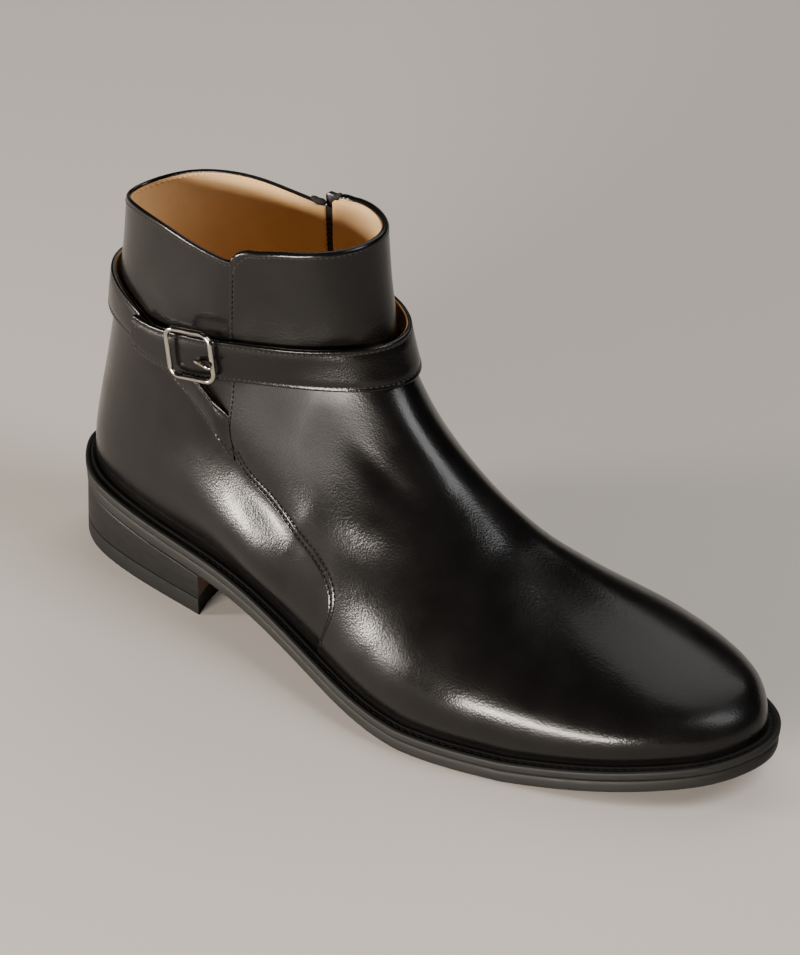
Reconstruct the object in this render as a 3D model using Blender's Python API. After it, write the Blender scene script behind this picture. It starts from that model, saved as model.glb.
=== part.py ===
"""Ankle boot for the right foot with wrap strap, buckle and inside zip. Toe along +X, outer side along -Y, +Z up."""
import math

import bmesh
import bpy
import numpy as np
from mathutils import Vector

for old in list(bpy.data.objects):
    bpy.data.objects.remove(old, do_unlink=True)

MM = 0.001

# Main sizes of the boot, millimetres
SOLE_LENGTH = 300.0
BALL_WIDTH = 100.0
GAP = 0.3

# Sole: thicknesses, steps of the side, heel
WELT_THICK = 3.3
SOLE_THICK = 8.6
WELT_WIDE = 8.3
OUTSOLE_STEP = 0.7
FEATHER_INSET = 5.6
HEEL_LONG = 80.0
HEEL_HOLLOW = 7.0
HEEL_STEP_TOP = 1.0
HEEL_STEP_FLOOR = 2.4
LIFT_THICK = 6.5
INSOLE_THICK = 3.5
INSOLE_CLEAR = 0.6

# Upper: leather with lining, and the front panel that lies over the rear quarter
WALL = 2.2
PANEL_STEP = 0.9
PANEL_ROOT = 0.8
PANEL_SHY = 0.25
HEEL_SQUARE = 0.6
HEEL_ROUND = 1.4
BLEND_WIDE = 0.12
BLEND_REACH = 0.30
CUP_FULL = 0.07
CUP_HIGH = 20.0
CUP_REACH = (45.0, 115.0)
CUP_TOP = (65.0, 118.0)

# Strap, buckle and zip
STRAP_THICK = 2.0
BUCKLE_WIRE = 1.2
BUCKLE_LONG = 21.4
BUCKLE_WIDE = 20.4
BUCKLE_ROUND = 3.6
BUCKLE_TURN = -446.5
BUCKLE_RAISE = 2.0
BUCKLE_SAG = 0.25
ZIP_ALONG = 91.2
ZIP_SLOT = 6.6
ZIP_LOW = 52.0
ZIP_HIGH = 144.0
PIN_RADIUS = 0.6
EYE_RADIUS = 1.6
PULL_LONG = 17.0
PULL_WIDE = 5.0
PULL_THICK = 1.2
NECK_LONG = 3.6
LUG_IN = 1.9
LUG_THICK = 0.9
SLIDER_HIGH = 142.5
SLIDER_WIDE = 5.9
SLIDER_LONG = 10.0
SLIDER_THICK = 2.6
SLIDER_SEAT = 0.15


def table(names, rows):
    """Named columns of a short table."""
    return dict(zip(names.split(), np.array(rows, float).T))


# Plan of the sole: share of the length, then outer and inner half width in percent of the ball width
PLAN = table("along outer inner", [
    (0.000, 0.0, 0.0),
    (0.020, 13.6, 15.5),
    (0.060, 23.2, 25.8),
    (0.120, 29.4, 31.3),
    (0.200, 33.4, 33.2),
    (0.300, 37.2, 31.0),
    (0.400, 43.4, 29.2),
    (0.480, 49.4, 31.2),
    (0.560, 55.0, 37.0),
    (0.640, 56.4, 44.0),
    (0.720, 52.2, 47.8),
    (0.800, 45.0, 46.0),
    (0.880, 35.9, 39.0),
    (0.950, 23.8, 27.8),
    (0.985, 12.4, 17.2),
    (1.000, -4.4, 4.4)])

# Height of the welt's top above the floor: heel seat, arch, ball, toe spring
RISE = table("along high", [
    (0.000, 32.4),
    (0.200, 27.2),
    (0.367, 22.2),
    (0.500, 14.2),
    (0.650, 8.1),
    (0.833, 11.2),
    (1.000, 20.4)])

# Crest of the upper in side view from the toe up the instep and the shaft's front, millimetres
CREST = table("along high", [
    (294.0, 24.8),
    (291.4, 29.4),
    (286.0, 32.8),
    (277.0, 35.4),
    (263.0, 38.3),
    (247.0, 42.6),
    (229.0, 48.9),
    (211.0, 57.3),
    (194.5, 65.8),
    (180.0, 74.8),
    (167.0, 84.0),
    (156.0, 93.5),
    (147.5, 103.0),
    (141.5, 112.5),
    (137.3, 122.5),
    (134.6, 133.5),
    (133.0, 144.5),
    (132.0, 154.5)])

# Back line of the upper in side view from the heel seat to the collar, millimetres
BACK = table("along high", [
    (7.0, 44.0),
    (9.3, 56.0),
    (12.5, 70.0),
    (16.0, 84.0),
    (19.2, 98.0),
    (21.6, 112.0),
    (23.1, 126.0),
    (24.0, 140.0)])

# Sections from the toe over the instep to the collar. base: 0 to 1 along the feather, 1 to 2 up the back line.
# crest: share of the crest line. swell: added to the feather's half width. outer, inner: half widths of the rear
# sections. widest: where, from base to crest. full: 2 is an ellipse. mid: side shift of the crest.
FORM = table("base crest swell outer inner widest full mid", [
    (0.00, 0.000, 0.0, 36.0, 36.0, 0.20, 2.30, 4.4),
    (0.05, 0.060, 0.6, 36.0, 36.0, 0.21, 2.30, 4.8),
    (0.10, 0.098, 1.2, 37.0, 36.0, 0.22, 2.30, 5.0),
    (0.20, 0.180, 1.9, 38.0, 36.0, 0.22, 2.20, 4.8),
    (0.30, 0.270, 2.2, 40.0, 35.0, 0.22, 2.10, 3.2),
    (0.40, 0.372, 2.3, 42.0, 34.5, 0.21, 2.00, 1.0),
    (0.50, 0.482, 2.5, 42.5, 34.0, 0.21, 1.88, -1.0),
    (0.60, 0.595, 3.5, 41.0, 33.4, 0.24, 1.80, -2.2),
    (0.70, 0.688, 4.0, 37.4, 33.0, 0.31, 1.82, -2.2),
    (0.80, 0.757, 4.0, 34.2, 32.4, 0.38, 1.90, -1.0),
    (0.90, 0.811, 4.0, 32.1, 31.4, 0.42, 1.98, -0.2),
    (1.00, 0.850, 4.0, 30.7, 30.4, 0.44, 2.02, 0.0),
    (1.20, 0.876, 4.0, 30.1, 30.0, 0.46, 2.05, 0.0),
    (1.50, 0.915, 4.0, 29.1, 29.1, 0.49, 2.08, 0.0),
    (1.80, 0.965, 4.0, 27.6, 27.6, 0.55, 2.10, 0.0),
    (2.00, 1.000, 4.0, 26.8, 26.8, 0.59, 2.10, 0.0)])

# Collar edge over the straight line from back to front: along the boot, lift in millimetres
COLLAR = table("along lift", [
    (24.0, 0.0),
    (34.0, 2.0),
    (45.0, 2.4),
    (60.0, 0.8),
    (75.0, -2.0),
    (86.0, -3.6),
    (91.0, -3.9),
    (97.0, -1.9),
    (103.0, 0.0),
    (112.0, 0.6),
    (123.0, 0.3),
    (134.5, 0.0)])

# Seam between the rear quarter and the front panel in side view, from the collar to the sole
SEAM = table("along high", [
    (91.2, 170.0),
    (91.2, 140.0),
    (91.2, 112.0),
    (92.0, 86.0),
    (92.6, 72.5),
    (97.0, 66.2),
    (108.0, 62.0),
    (121.0, 56.8),
    (132.5, 51.0),
    (141.5, 45.0),
    (146.8, 38.0),
    (147.2, 29.0),
    (143.5, 18.0),
    (141.5, 5.0)])

# Strap from its sewn end at the outer seam, round the back, inner side and front, to the buckle.
# turn: degrees about the ankle from the toe side. low, high: heights of the edges. Then how far each edge stands off.
STRAP = table("turn low high low_off high_off", [
    (-67.5, 69.5, 86.5, 0.4, 0.4),
    (-78.0, 75.8, 90.5, 0.4, 0.4),
    (-92.0, 82.0, 96.0, 0.4, 0.4),
    (-110.0, 90.0, 102.5, 0.4, 0.4),
    (-128.0, 95.0, 107.5, 0.4, 0.5),
    (-146.0, 98.0, 111.5, 0.6, 1.0),
    (-168.0, 98.5, 113.5, 0.7, 1.4),
    (-195.0, 98.5, 114.5, 0.8, 1.6),
    (-230.0, 99.0, 115.5, 0.9, 1.5),
    (-265.0, 100.0, 116.5, 1.0, 1.6),
    (-300.0, 101.5, 117.5, 1.4, 2.2),
    (-330.0, 103.5, 118.8, 1.9, 3.1),
    (-350.0, 105.3, 120.4, 1.9, 3.8),
    (-365.0, 106.0, 120.8, 1.9, 4.0),
    (-380.0, 104.8, 119.6, 1.8, 3.8),
    (-400.0, 102.2, 117.8, 1.6, 3.3),
    (-420.0, 100.0, 115.8, 1.6, 3.0),
    (-435.0, 98.0, 114.0, 1.9, 2.7),
    (-455.0, 96.3, 112.3, 2.8, 2.8),
    (-470.0, 95.3, 111.0, 2.9, 2.9),
    (-484.0, 95.2, 109.8, 2.9, 3.0),
    (-497.0, 96.7, 109.6, 3.0, 3.3)])


def spline(knots, values):
    """Smooth curve through a table's points with free ends."""
    knots = np.asarray(knots, float)
    values = np.asarray(values, float)
    count = len(knots)
    step = np.diff(knots)
    lhs = np.eye(count)
    rhs = np.zeros(values.shape)
    slope = np.diff(values, axis=0) / step.reshape((-1,) + (1,) * (values.ndim - 1))
    for i in range(1, count - 1):
        lhs[i, i - 1:i + 2] = (step[i - 1], 2.0 * (step[i - 1] + step[i]), step[i])
        rhs[i] = 6.0 * (slope[i] - slope[i - 1])
    bend = np.linalg.solve(lhs, rhs)

    def at(where):
        where = np.clip(np.asarray(where, float), knots[0], knots[-1])
        i = np.clip(np.searchsorted(knots, where) - 1, 0, count - 2)
        h = step[i]
        a = (knots[i + 1] - where) / h
        b = 1.0 - a
        shape = np.shape(where) + (1,) * (values.ndim - 1)
        a, b, h = a.reshape(shape), b.reshape(shape), np.reshape(h, shape)
        cube = ((a ** 3 - a) * bend[i] + (b ** 3 - b) * bend[i + 1]) * h * h / 6.0
        return a * values[i] + b * values[i + 1] + cube
    return at


def length_along(points):
    """Running length along a line of points."""
    return np.concatenate([[0.0], np.cumsum(np.linalg.norm(np.diff(points, axis=0), axis=1))])


def ramp(low, high, value):
    """Soft step from 0 to 1."""
    t = np.clip((value - low) / (high - low), 0.0, 1.0)
    return t * t * (3.0 - 2.0 * t)


rise = spline(RISE["along"] * SOLE_LENGTH, RISE["high"])


def floor_side(x):
    """Underside of the outsole, flat where the ball stands."""
    return np.maximum(rise(x) - SOLE_THICK, 0.0)


def welt_low(x):
    """Underside of the welt."""
    return floor_side(x) + SOLE_THICK - WELT_THICK


def welt_high(x):
    """Top of the welt, where the upper stands."""
    return floor_side(x) + SOLE_THICK


def sole_outline(count=1440):
    """Closed plan of the sole, from the heel's back along the outer side to the toe and back."""
    wide = BALL_WIDTH / 100.0
    along = PLAN["along"] * SOLE_LENGTH
    outer = np.stack([along, -PLAN["outer"] * wide], 1)
    inner = np.stack([along, PLAN["inner"] * wide], 1)[1:-1][::-1]
    outer[-1, 1] = PLAN["inner"][-1] * wide
    ring = np.vstack([outer, inner])
    wrap = 5
    line = np.vstack([ring[-wrap:], ring, ring[:wrap + 1]])
    steps = np.linalg.norm(np.diff(line, axis=0), axis=1) ** 0.5
    run = np.concatenate([[0.0], np.cumsum(steps)])
    curve = spline(run, line)
    t = np.linspace(run[wrap], run[wrap + len(ring)], 6 * count + 1)
    dense = curve(t)
    arc = length_along(dense)
    even = np.linspace(0.0, arc[-1], count, endpoint=False)
    return np.stack([np.interp(even, arc, dense[:, k]) for k in (0, 1)], 1)


def inset_line(line, inset):
    """Closed line moved to its inner side."""
    tangent = np.roll(line, -1, 0) - np.roll(line, 1, 0)
    tangent /= np.linalg.norm(tangent, axis=1, keepdims=True)
    inward = np.stack([-tangent[:, 1], tangent[:, 0]], 1)
    return line + inward * inset


OUTLINE = sole_outline()
SHIFT = np.array([
    -SOLE_LENGTH / 2.0,
    -(OUTLINE[:, 1].max() + OUTLINE[:, 1].min()) / 2.0,
    0.0])


def halves(inset):
    """Outer and inner half of the inset plan, both from the toe to the heel's back."""
    ring = inset_line(OUTLINE, inset)
    toe = int(ring[:, 0].argmax())
    ring = np.roll(ring, -toe, 0)
    heel = int(ring[:, 0].argmin())
    inner = ring[:heel + 1]
    outer = np.vstack([ring[heel:], ring[:1]])[::-1]
    return outer, inner


def stations(inset, shares):
    """Points of both sides at shares of the outer side's length, paired at the same distance along the boot."""
    outer, inner = halves(inset)
    arc = length_along(outer)
    share = np.asarray(shares) * arc[-1]
    x = np.interp(share, arc, outer[:, 0])
    y_out = np.interp(share, arc, outer[:, 1])
    y_in = np.interp(-x, -inner[:, 0], inner[:, 1])
    y_in = np.where(np.asarray(shares) >= 1.0, y_out, y_in)
    return x, y_out, y_in


def new_mesh(name, points, faces, collection):
    """Closed mesh object in metres from points in millimetres."""
    mesh = bpy.data.meshes.new(name)
    mesh.from_pydata([tuple((np.asarray(p) + SHIFT) * MM) for p in points], [], faces)
    work = bmesh.new()
    work.from_mesh(mesh)
    bmesh.ops.remove_doubles(work, verts=work.verts, dist=0.00001)
    bmesh.ops.dissolve_degenerate(work, edges=work.edges, dist=0.000001)
    bmesh.ops.recalc_face_normals(work, faces=work.faces)
    work.to_mesh(mesh)
    work.free()
    item = bpy.data.objects.new(name, mesh)
    collection.objects.link(item)
    return item


def slab(name, low, high, collection, closed=False, rim_rows=None):
    """Solid between two grids of rows and columns. closed joins the last row to the first."""
    rows, cols = low.shape[:2]
    points = np.vstack([low.reshape(-1, 3), high.reshape(-1, 3)])
    half = rows * cols
    faces = []

    def spot(r, c, top):
        return (r % rows) * cols + c + top * half
    spans = rows if closed else rows - 1
    rim = spans if rim_rows is None else rim_rows
    for r in range(spans):
        for c in range(cols - 1):
            for top in (0, 1):
                quad = [spot(r, c, top), spot(r + 1, c, top), spot(r + 1, c + 1, top), spot(r, c + 1, top)]
                faces.append(quad if top else quad[::-1])
        for c in ((0, cols - 1) if r < rim else ()):
            quad = [spot(r, c, 0), spot(r + 1, c, 0), spot(r + 1, c, 1), spot(r, c, 1)]
            faces.append(quad if c == 0 else quad[::-1])
    if not closed:
        for r in (0, rows - 1):
            for c in range(cols - 1):
                quad = [spot(r, c, 0), spot(r, c + 1, 0), spot(r, c + 1, 1), spot(r, c, 1)]
                faces.append(quad[::-1] if r == 0 else quad)
    return new_mesh(name, points, faces, collection)


def across(x, y_out, y_in, columns):
    """Rows of points from the outer to the inner side."""
    share = np.linspace(0.0, 1.0, columns)
    xs = np.repeat(x[:, None], columns, 1)
    ys = y_out[:, None] + (y_in - y_out)[:, None] * share
    return xs, ys


def plate(name, inset, low, high, collection, rows=30, columns=5):
    """Sole-shaped plate between two heights that depend on the distance along the boot."""
    shares = (1.0 - np.cos(np.linspace(0.0, math.pi, rows))) / 2.0
    shares = 0.45 * shares + 0.55 * np.linspace(0.0, 1.0, rows)
    xs, ys = across(*stations(inset, shares), columns)
    return slab(name, np.stack([xs, ys, low(xs)], 2), np.stack([xs, ys, high(xs)], 2), collection)


# Form of the upper
FEATHER_OUT, FEATHER_IN = halves(FEATHER_INSET)
TOE_TIP = FEATHER_OUT[0]
HEEL_TIP = FEATHER_OUT[-1]


def side_line(first, rest):
    """Side-view line with its first point on the feather, by share of its length."""
    start = np.array([[first[0], float(welt_high(first[0])) + GAP]])
    points = np.vstack([start, np.stack([rest["along"], rest["high"]], 1)])
    run = length_along(points)
    dense = spline(run, points)(np.linspace(0.0, run[-1], 800))
    arc = length_along(dense)
    return lambda share: np.stack(
        [np.interp(np.asarray(share) * arc[-1], arc, dense[:, k]) for k in (0, 1)], -1)


crest_line = side_line(TOE_TIP, CREST)
back_line = side_line(HEEL_TIP, BACK)
FORM_AT = {name: spline(FORM["base"], FORM[name]) for name in FORM if name != "base"}
collar_lift = spline(COLLAR["along"], COLLAR["lift"])


def upper_at(base, climb, side):
    """Points of the upper's outer face. climb: 0 at the base, 1 where the section is widest, 2 on the crest."""
    form = {name: at(base) for name, at in FORM_AT.items()}
    x, y_out, y_in = stations(FEATHER_INSET, np.minimum(base, 1.0))
    z = welt_high(x) + GAP
    mid = form["mid"] + (TOE_TIP[1] - FORM["mid"][0]) * (1.0 - ramp(0.0, 0.1, base))
    back = back_line(np.clip(base - 1.0, 0.0, 1.0))
    x = np.where(base > 1.0, back[..., 0], x)
    z = np.where(base > 1.0, back[..., 1], z)
    crest = crest_line(np.clip(form["crest"], 0.0, 1.0))
    rear = ramp(0.5, 0.7, base)
    shaft = ramp(1.0, 2.0, base)
    ends = (base <= 0.0) | (base >= 1.0)
    foot = np.where(ends, 0.0, side * ((y_out if side < 0.0 else y_in) - mid))
    top = (1.0 - rear) * (foot + form["swell"]) + rear * form["outer" if side < 0.0 else "inner"]
    top = np.where(base <= 0.0, 0.0, np.maximum(top, foot))
    open_share = 1.0 - np.where(base <= 0.0, 1.0, foot / np.maximum(top, 0.001))
    turn_in = 1.0 + (HEEL_ROUND - 0.4 * shaft) * open_share ** 1.8
    square = 2.0 + HEEL_SQUARE * ramp(0.75, 1.0, base) * (1.0 - shaft)
    even = np.clip(2.0 - turn_in, 0.0, 1.0)
    low = np.clip(climb, 0.0, 1.0)
    low = even * low + (1.0 - even) * (1.0 - np.cos(low * math.pi / 2.0))
    high = np.clip(climb - 1.0, 0.0, 1.0) * math.pi / 2.0
    power = 2.0 / form["full"]
    widest = form["widest"]
    share = widest * low + (1.0 - widest) * np.sin(high) ** power
    width = foot + (top - foot) * np.maximum(1.0 - (1.0 - low) ** square, 0.0) ** (1.0 / turn_in)
    width = np.where(climb > 1.0, top * np.maximum(np.cos(high), 0.0) ** power, width)
    width = np.where(climb >= 2.0, 0.0, width)
    px = x + (crest[..., 0] - x) * share
    pz = z + (crest[..., 1] - z) * share
    pz = pz + collar_lift(px) * ramp(1.55, 2.0, base)
    return np.stack([px, mid + side * width, pz], -1)


def heel_cup(points, side):
    """Half width of the heel cup, the feather's plan carried up the back line, and its share at each point."""
    x, z = points[..., 0], points[..., 2]
    line = (FEATHER_OUT if side < 0.0 else FEATHER_IN)[::-1]
    back = back_line(np.linspace(0.0, 1.0, 200))
    far = np.maximum(x - np.interp(z, back[:, 1], back[:, 0]), 0.0)
    plan = np.sqrt(np.interp(HEEL_TIP[0] + far, line[:, 0], (line[:, 1] - HEEL_TIP[1]) ** 2))
    above = np.clip((z - welt_high(x) - GAP) / CUP_HIGH, 0.0, 1.0)
    full = 1.0 + CUP_FULL * (1.0 - (1.0 - above) ** 2) - CUP_FULL * ramp(60.0, 110.0, z)
    share = (1.0 - ramp(*CUP_REACH, far)) * (1.0 - ramp(*CUP_TOP, z))
    return plan * full, share


def upper_side(base, climb, side):
    """The same points with the turn from the sole edge to the back line made soft and the heel cup rounded."""
    near = np.maximum(1.0 - ((base - 1.0) / BLEND_REACH) ** 2, 0.0) ** 2
    reach = BLEND_WIDE * near * ramp(0.0, 0.9, climb)
    total = 0.0
    weight = 0.0
    for step in np.linspace(-0.9, 0.9, 13):
        part = (1.0 - step * step) ** 2
        total = total + part * upper_at(base + step * reach, climb, side)
        weight += part
    points = total / weight
    wide, share = heel_cup(points, side)
    wide = np.where((climb <= 0.0) & (base >= 1.0), 0.0, wide)
    points[..., 1] += (HEEL_TIP[1] + side * wide - points[..., 1]) * np.where(climb >= 2.0, 0.0, share)
    return points


def upper_grid(rows, low_steps, high_steps):
    """Rows from toe to collar, columns from the outer base over the crest to the inner base."""
    climb = np.concatenate([np.linspace(0.0, 1.0, low_steps + 1), np.linspace(1.0, 2.0, high_steps + 1)[1:]])
    base, climb = np.meshgrid(np.asarray(rows, float), climb, indexing="ij")
    outer = upper_side(base, climb, -1.0)
    inner = upper_side(base, climb, 1.0)
    return np.concatenate([outer, inner[:, -2::-1]], 1)


def grid_normals(grid):
    """Outward directions of the upper's grid."""
    along = np.gradient(grid, axis=0)
    round_ = np.gradient(grid, axis=1)
    seam = grid[:, 0] - grid[:, -1]
    shut = np.linalg.norm(seam, axis=1) < 0.001
    wrap = grid[:, 1] - grid[:, -2]
    round_[shut, 0] = wrap[shut]
    round_[shut, -1] = wrap[shut]
    normal = np.cross(round_, along)
    size = np.linalg.norm(normal, axis=2, keepdims=True)
    normal = normal / np.maximum(size, 1e-9)
    normal[0] = (1.0, 0.0, 0.0)
    return normal


def flat_ends(grid, like, row_count, drop_foot, drop_top):
    """Keep the foot and the collar edge of an offset grid level with the first one."""
    out = grid.copy()
    for c in (0, -1):
        out[:row_count, c, 2] = like[:row_count, c, 2] + drop_foot
    out[:, :, 2] = np.maximum(out[:, :, 2], welt_high(out[:, :, 0]) + GAP + drop_foot)
    out[0, :, 2] = like[0, :, 2] + drop_foot
    out[-1, :, 2] = like[-1, :, 2] - drop_top
    return out


ROWS_FOOT = np.concatenate([[0.0, 0.018, 0.04, 0.066, 0.097, 0.133], np.linspace(0.175, 0.86, 15),
                            [0.895, 0.925, 0.95, 0.972, 0.988, 1.0]])
ROWS_BACK = np.array([1.07, 1.15, 1.25, 1.36, 1.48, 1.6, 1.72, 1.82, 1.91, 1.97, 2.0])
ROWS = np.concatenate([ROWS_FOOT, ROWS_BACK])
FOOT_COUNT = len(ROWS_FOOT)

OUTER = upper_grid(ROWS, 7, 8)
NORMAL = grid_normals(OUTER)
DENSE = upper_grid(np.concatenate([np.linspace(0.3, 1.0, 60), np.linspace(1.01, 2.0, 60)]), 10, 20)
ANKLE = 78.0


def ankle_ring(high):
    """Level line of the shaft at one height, by turn in degrees about the ankle's middle."""
    points = []
    for c in range(DENSE.shape[1] - 1):
        column = DENSE[:, c]
        z = np.maximum.accumulate(column[:, 2])
        points.append([np.interp(high, z, column[:, k]) for k in (0, 1)])
    points = np.array(points)
    turn = np.degrees(np.arctan2(points[:, 1], points[:, 0] - ANKLE))
    far = np.hypot(points[:, 1], points[:, 0] - ANKLE)
    order = np.argsort(turn)
    turn, far = turn[order], far[order]
    turn = np.concatenate([turn[-4:] - 360.0, turn, turn[:4] + 360.0])
    far = np.concatenate([far[-4:], far, far[:4]])

    def at(where, stand):
        def spot(angle):
            angle = (angle + 180.0) % 360.0 - 180.0
            r = np.interp(angle, turn, far)
            return np.array([ANKLE + r * math.cos(math.radians(angle)), r * math.sin(math.radians(angle))])
        tangent = spot(where + 3.0) - spot(where - 3.0)
        tangent /= np.linalg.norm(tangent)
        return spot(where) + np.array([tangent[1], -tangent[0]]) * stand
    return at


def collection_for(name):
    """New collection in the scene."""
    group = bpy.data.collections.new(name)
    bpy.context.scene.collection.children.link(group)
    return group


BOOT = collection_for("ankle_boot")
CUTTERS = collection_for("cutters")
CUTTERS.hide_render = True


def material(name, colour, rough, metal=0.0):
    """Plain surface with a base colour."""
    made = bpy.data.materials.new(name)
    made.use_nodes = True
    shader = made.node_tree.nodes["Principled BSDF"]
    shader.inputs["Base Color"].default_value = (*colour, 1.0)
    shader.inputs["Roughness"].default_value = rough
    shader.inputs["Metallic"].default_value = metal
    made.diffuse_color = (*colour, 1.0)
    return made


def combine(target, other, operation):
    """Exact union, difference or intersection. The other object becomes a hidden cutter."""
    other.hide_render = True
    other.display_type = "WIRE"
    step = target.modifiers.new(operation.lower(), "BOOLEAN")
    step.operation = operation
    step.solver = "EXACT"
    step.object = other
    graph = bpy.context.evaluated_depsgraph_get()
    mesh = bpy.data.meshes.new_from_object(target.evaluated_get(graph))
    target.modifiers.remove(step)
    target.data = mesh


def prism(name, outline, low, high, collection):
    """Side-view outline carried across the boot from one side to the other."""
    count = len(outline)
    points = [(x, low, z) for x, z in outline] + [(x, high, z) for x, z in outline]
    faces = [list(range(count)), list(range(2 * count - 1, count - 1, -1))]
    for i in range(count):
        k = (i + 1) % count
        faces.append([i, i + count, k + count, k])
    return new_mesh(name, points, faces, collection)


def bar(name, path, radii, collection, sides=10, closed=False, flat=None):
    """Round bar along a path of points. Ends are capped unless the path is closed."""
    path = np.asarray(path, float)
    count = len(path)
    ahead = np.roll(path, -1, 0) - np.roll(path, 1, 0)
    if not closed:
        ahead[0] = path[1] - path[0]
        ahead[-1] = path[-1] - path[-2]
    ahead /= np.linalg.norm(ahead, axis=1, keepdims=True)
    up = np.asarray(flat, float)
    points = []
    for p, a, r in zip(path, ahead, radii):
        side = np.cross(up, a)
        side /= np.linalg.norm(side)
        lift = np.cross(a, side)
        for k in range(sides):
            t = 2.0 * math.pi * (k + 0.5) / sides
            points.append(p + (side * math.cos(t) + lift * math.sin(t)) * r)
    faces = []
    for i in range(count if closed else count - 1):
        j = (i + 1) % count
        for k in range(sides):
            m = (k + 1) % sides
            faces.append([i * sides + k, i * sides + m, j * sides + m, j * sides + k])
    if not closed:
        faces.append(list(range(sides))[::-1])
        faces.append([(count - 1) * sides + k for k in range(sides)])
    return new_mesh(name, points, faces, collection)


# Sole pieces
outsole = plate("outsole", OUTSOLE_STEP, floor_side, lambda x: welt_low(x) - GAP, BOOT, rows=40)

ring_pick = np.linspace(0, len(OUTLINE), 80, endpoint=False).astype(int)
ring_out = OUTLINE[ring_pick]
ring_in = inset_line(OUTLINE, WELT_WIDE)[ring_pick]
ring_plan = np.stack([ring_out, ring_in], 1)
ring_x = ring_plan[:, :, 0]
welt = slab("welt", np.dstack([ring_plan, welt_low(ring_x)]), np.dstack([ring_plan, welt_high(ring_x)]),
            BOOT, closed=True)

insole = plate("insole", WELT_WIDE + INSOLE_CLEAR, welt_low, lambda x: welt_high(x) + INSOLE_THICK,
               BOOT, rows=34)


def heel_grid(inset, high, columns=7, rows=16):
    """Heel plan with its hollow front at one inset."""
    outer, inner = halves(inset)
    keep = outer[outer[:, 0] <= HEEL_LONG][::-1]
    arc = length_along(keep)
    turn = np.linspace(0.0, arc[-1], rows)
    x = np.interp(turn, arc, keep[:, 0])
    y_out = np.interp(turn, arc, keep[:, 1])
    y_in = np.interp(-x, -inner[:, 0], inner[:, 1])
    y_in[0] = y_out[0]
    xs, ys = across(x, y_out, y_in, columns)
    share = np.linspace(-1.0, 1.0, columns)
    front = ((x - x[0]) / (x[-1] - x[0])) ** 3
    xs = xs - HEEL_HOLLOW * front[:, None] * (1.0 - share ** 2)
    return np.stack([xs, ys, high(xs)], 2)


HEEL_STEP_LIFT = HEEL_STEP_FLOOR - (HEEL_STEP_FLOOR - HEEL_STEP_TOP) * 0.3
heel_top_lift = slab("heel_top_lift", heel_grid(HEEL_STEP_FLOOR, lambda x: 0.0 * x),
                     heel_grid(HEEL_STEP_LIFT, lambda x: 0.0 * x + LIFT_THICK), BOOT)
heel_stack = slab("heel_stack", heel_grid(HEEL_STEP_LIFT, lambda x: 0.0 * x + LIFT_THICK + GAP),
                  heel_grid(HEEL_STEP_TOP, lambda x: floor_side(x) - GAP), BOOT)

# Upper: rear quarter form, front panel a step thicker, zip slot
inner_face = flat_ends(OUTER - NORMAL * WALL, OUTER, FOOT_COUNT, 0.0, 0.0)
upper = slab("upper", inner_face, OUTER, BOOT, rim_rows=FOOT_COUNT - 1)
panel_low = flat_ends(OUTER - NORMAL * PANEL_ROOT, OUTER, FOOT_COUNT, PANEL_SHY, PANEL_SHY)
panel_high = flat_ends(OUTER + NORMAL * PANEL_STEP, OUTER, FOOT_COUNT, PANEL_SHY, PANEL_SHY)
panel = slab("front_panel", panel_low, panel_high, CUTTERS, rim_rows=FOOT_COUNT - 1)
seam_points = np.stack([SEAM["along"], SEAM["high"]], 1)
seam_run = length_along(seam_points)
seam_line = spline(seam_run, seam_points)(np.linspace(0.0, seam_run[-1], 40))
front_side = [tuple(p) for p in seam_line] + [(330.0, 5.0), (330.0, 170.0)]
front_cut = prism("front_cut", front_side, -90.0, 90.0, CUTTERS)
combine(panel, front_cut, "INTERSECT")
combine(upper, panel, "UNION")
slot = [(ZIP_ALONG - ZIP_SLOT / 2.0, ZIP_LOW), (ZIP_ALONG + ZIP_SLOT / 2.0, ZIP_LOW),
        (ZIP_ALONG + ZIP_SLOT / 2.0, 190.0), (ZIP_ALONG - ZIP_SLOT / 2.0, 190.0)]
zip_cut = prism("zip_cut", slot, 4.0, 80.0, CUTTERS)
combine(upper, zip_cut, "DIFFERENCE")

# Strap
turns = np.linspace(STRAP["turn"][0], STRAP["turn"][-1], 69)
strap_at = {name: spline(-STRAP["turn"], STRAP[name]) for name in STRAP if name != "turn"}
strap_low = np.zeros((len(turns), 3, 3))
strap_high = np.zeros((len(turns), 3, 3))


def strap_point(turn, share, lift):
    """Point of the strap at a turn, from its low to its high edge, lifted off its inner face."""
    low, high, low_off, high_off = (float(strap_at[name](-turn)) for name in ("low", "high", "low_off", "high_off"))
    z = low + (high - low) * share
    off = low_off + (high_off - low_off) * share
    return np.array([*ankle_ring(z)(turn, off + lift), z])


for i, turn in enumerate(turns):
    for k, share in enumerate((0.0, 0.5, 1.0)):
        strap_low[i, k] = strap_point(turn, share, 0.0)
        strap_high[i, k] = strap_point(turn, share, STRAP_THICK)
strap = slab("strap", strap_low, strap_high, BOOT)

# Buckle: its own axes lie along the strap, across it and out from it
spot = strap_point(BUCKLE_TURN, 0.5, STRAP_THICK)
axis_long = strap_point(BUCKLE_TURN + 6.0, 0.5, STRAP_THICK) - strap_point(BUCKLE_TURN - 6.0, 0.5, STRAP_THICK)
axis_long /= np.linalg.norm(axis_long)
axis_wide = strap_point(BUCKLE_TURN, 1.0, STRAP_THICK) - strap_point(BUCKLE_TURN, 0.0, STRAP_THICK)
axis_out = np.cross(axis_long, axis_wide)
axis_out /= np.linalg.norm(axis_out)
axis_wide = np.cross(axis_out, axis_long)
plane = spot + axis_out * (BUCKLE_WIRE + GAP + BUCKLE_SAG) + axis_wide * BUCKLE_RAISE


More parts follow.
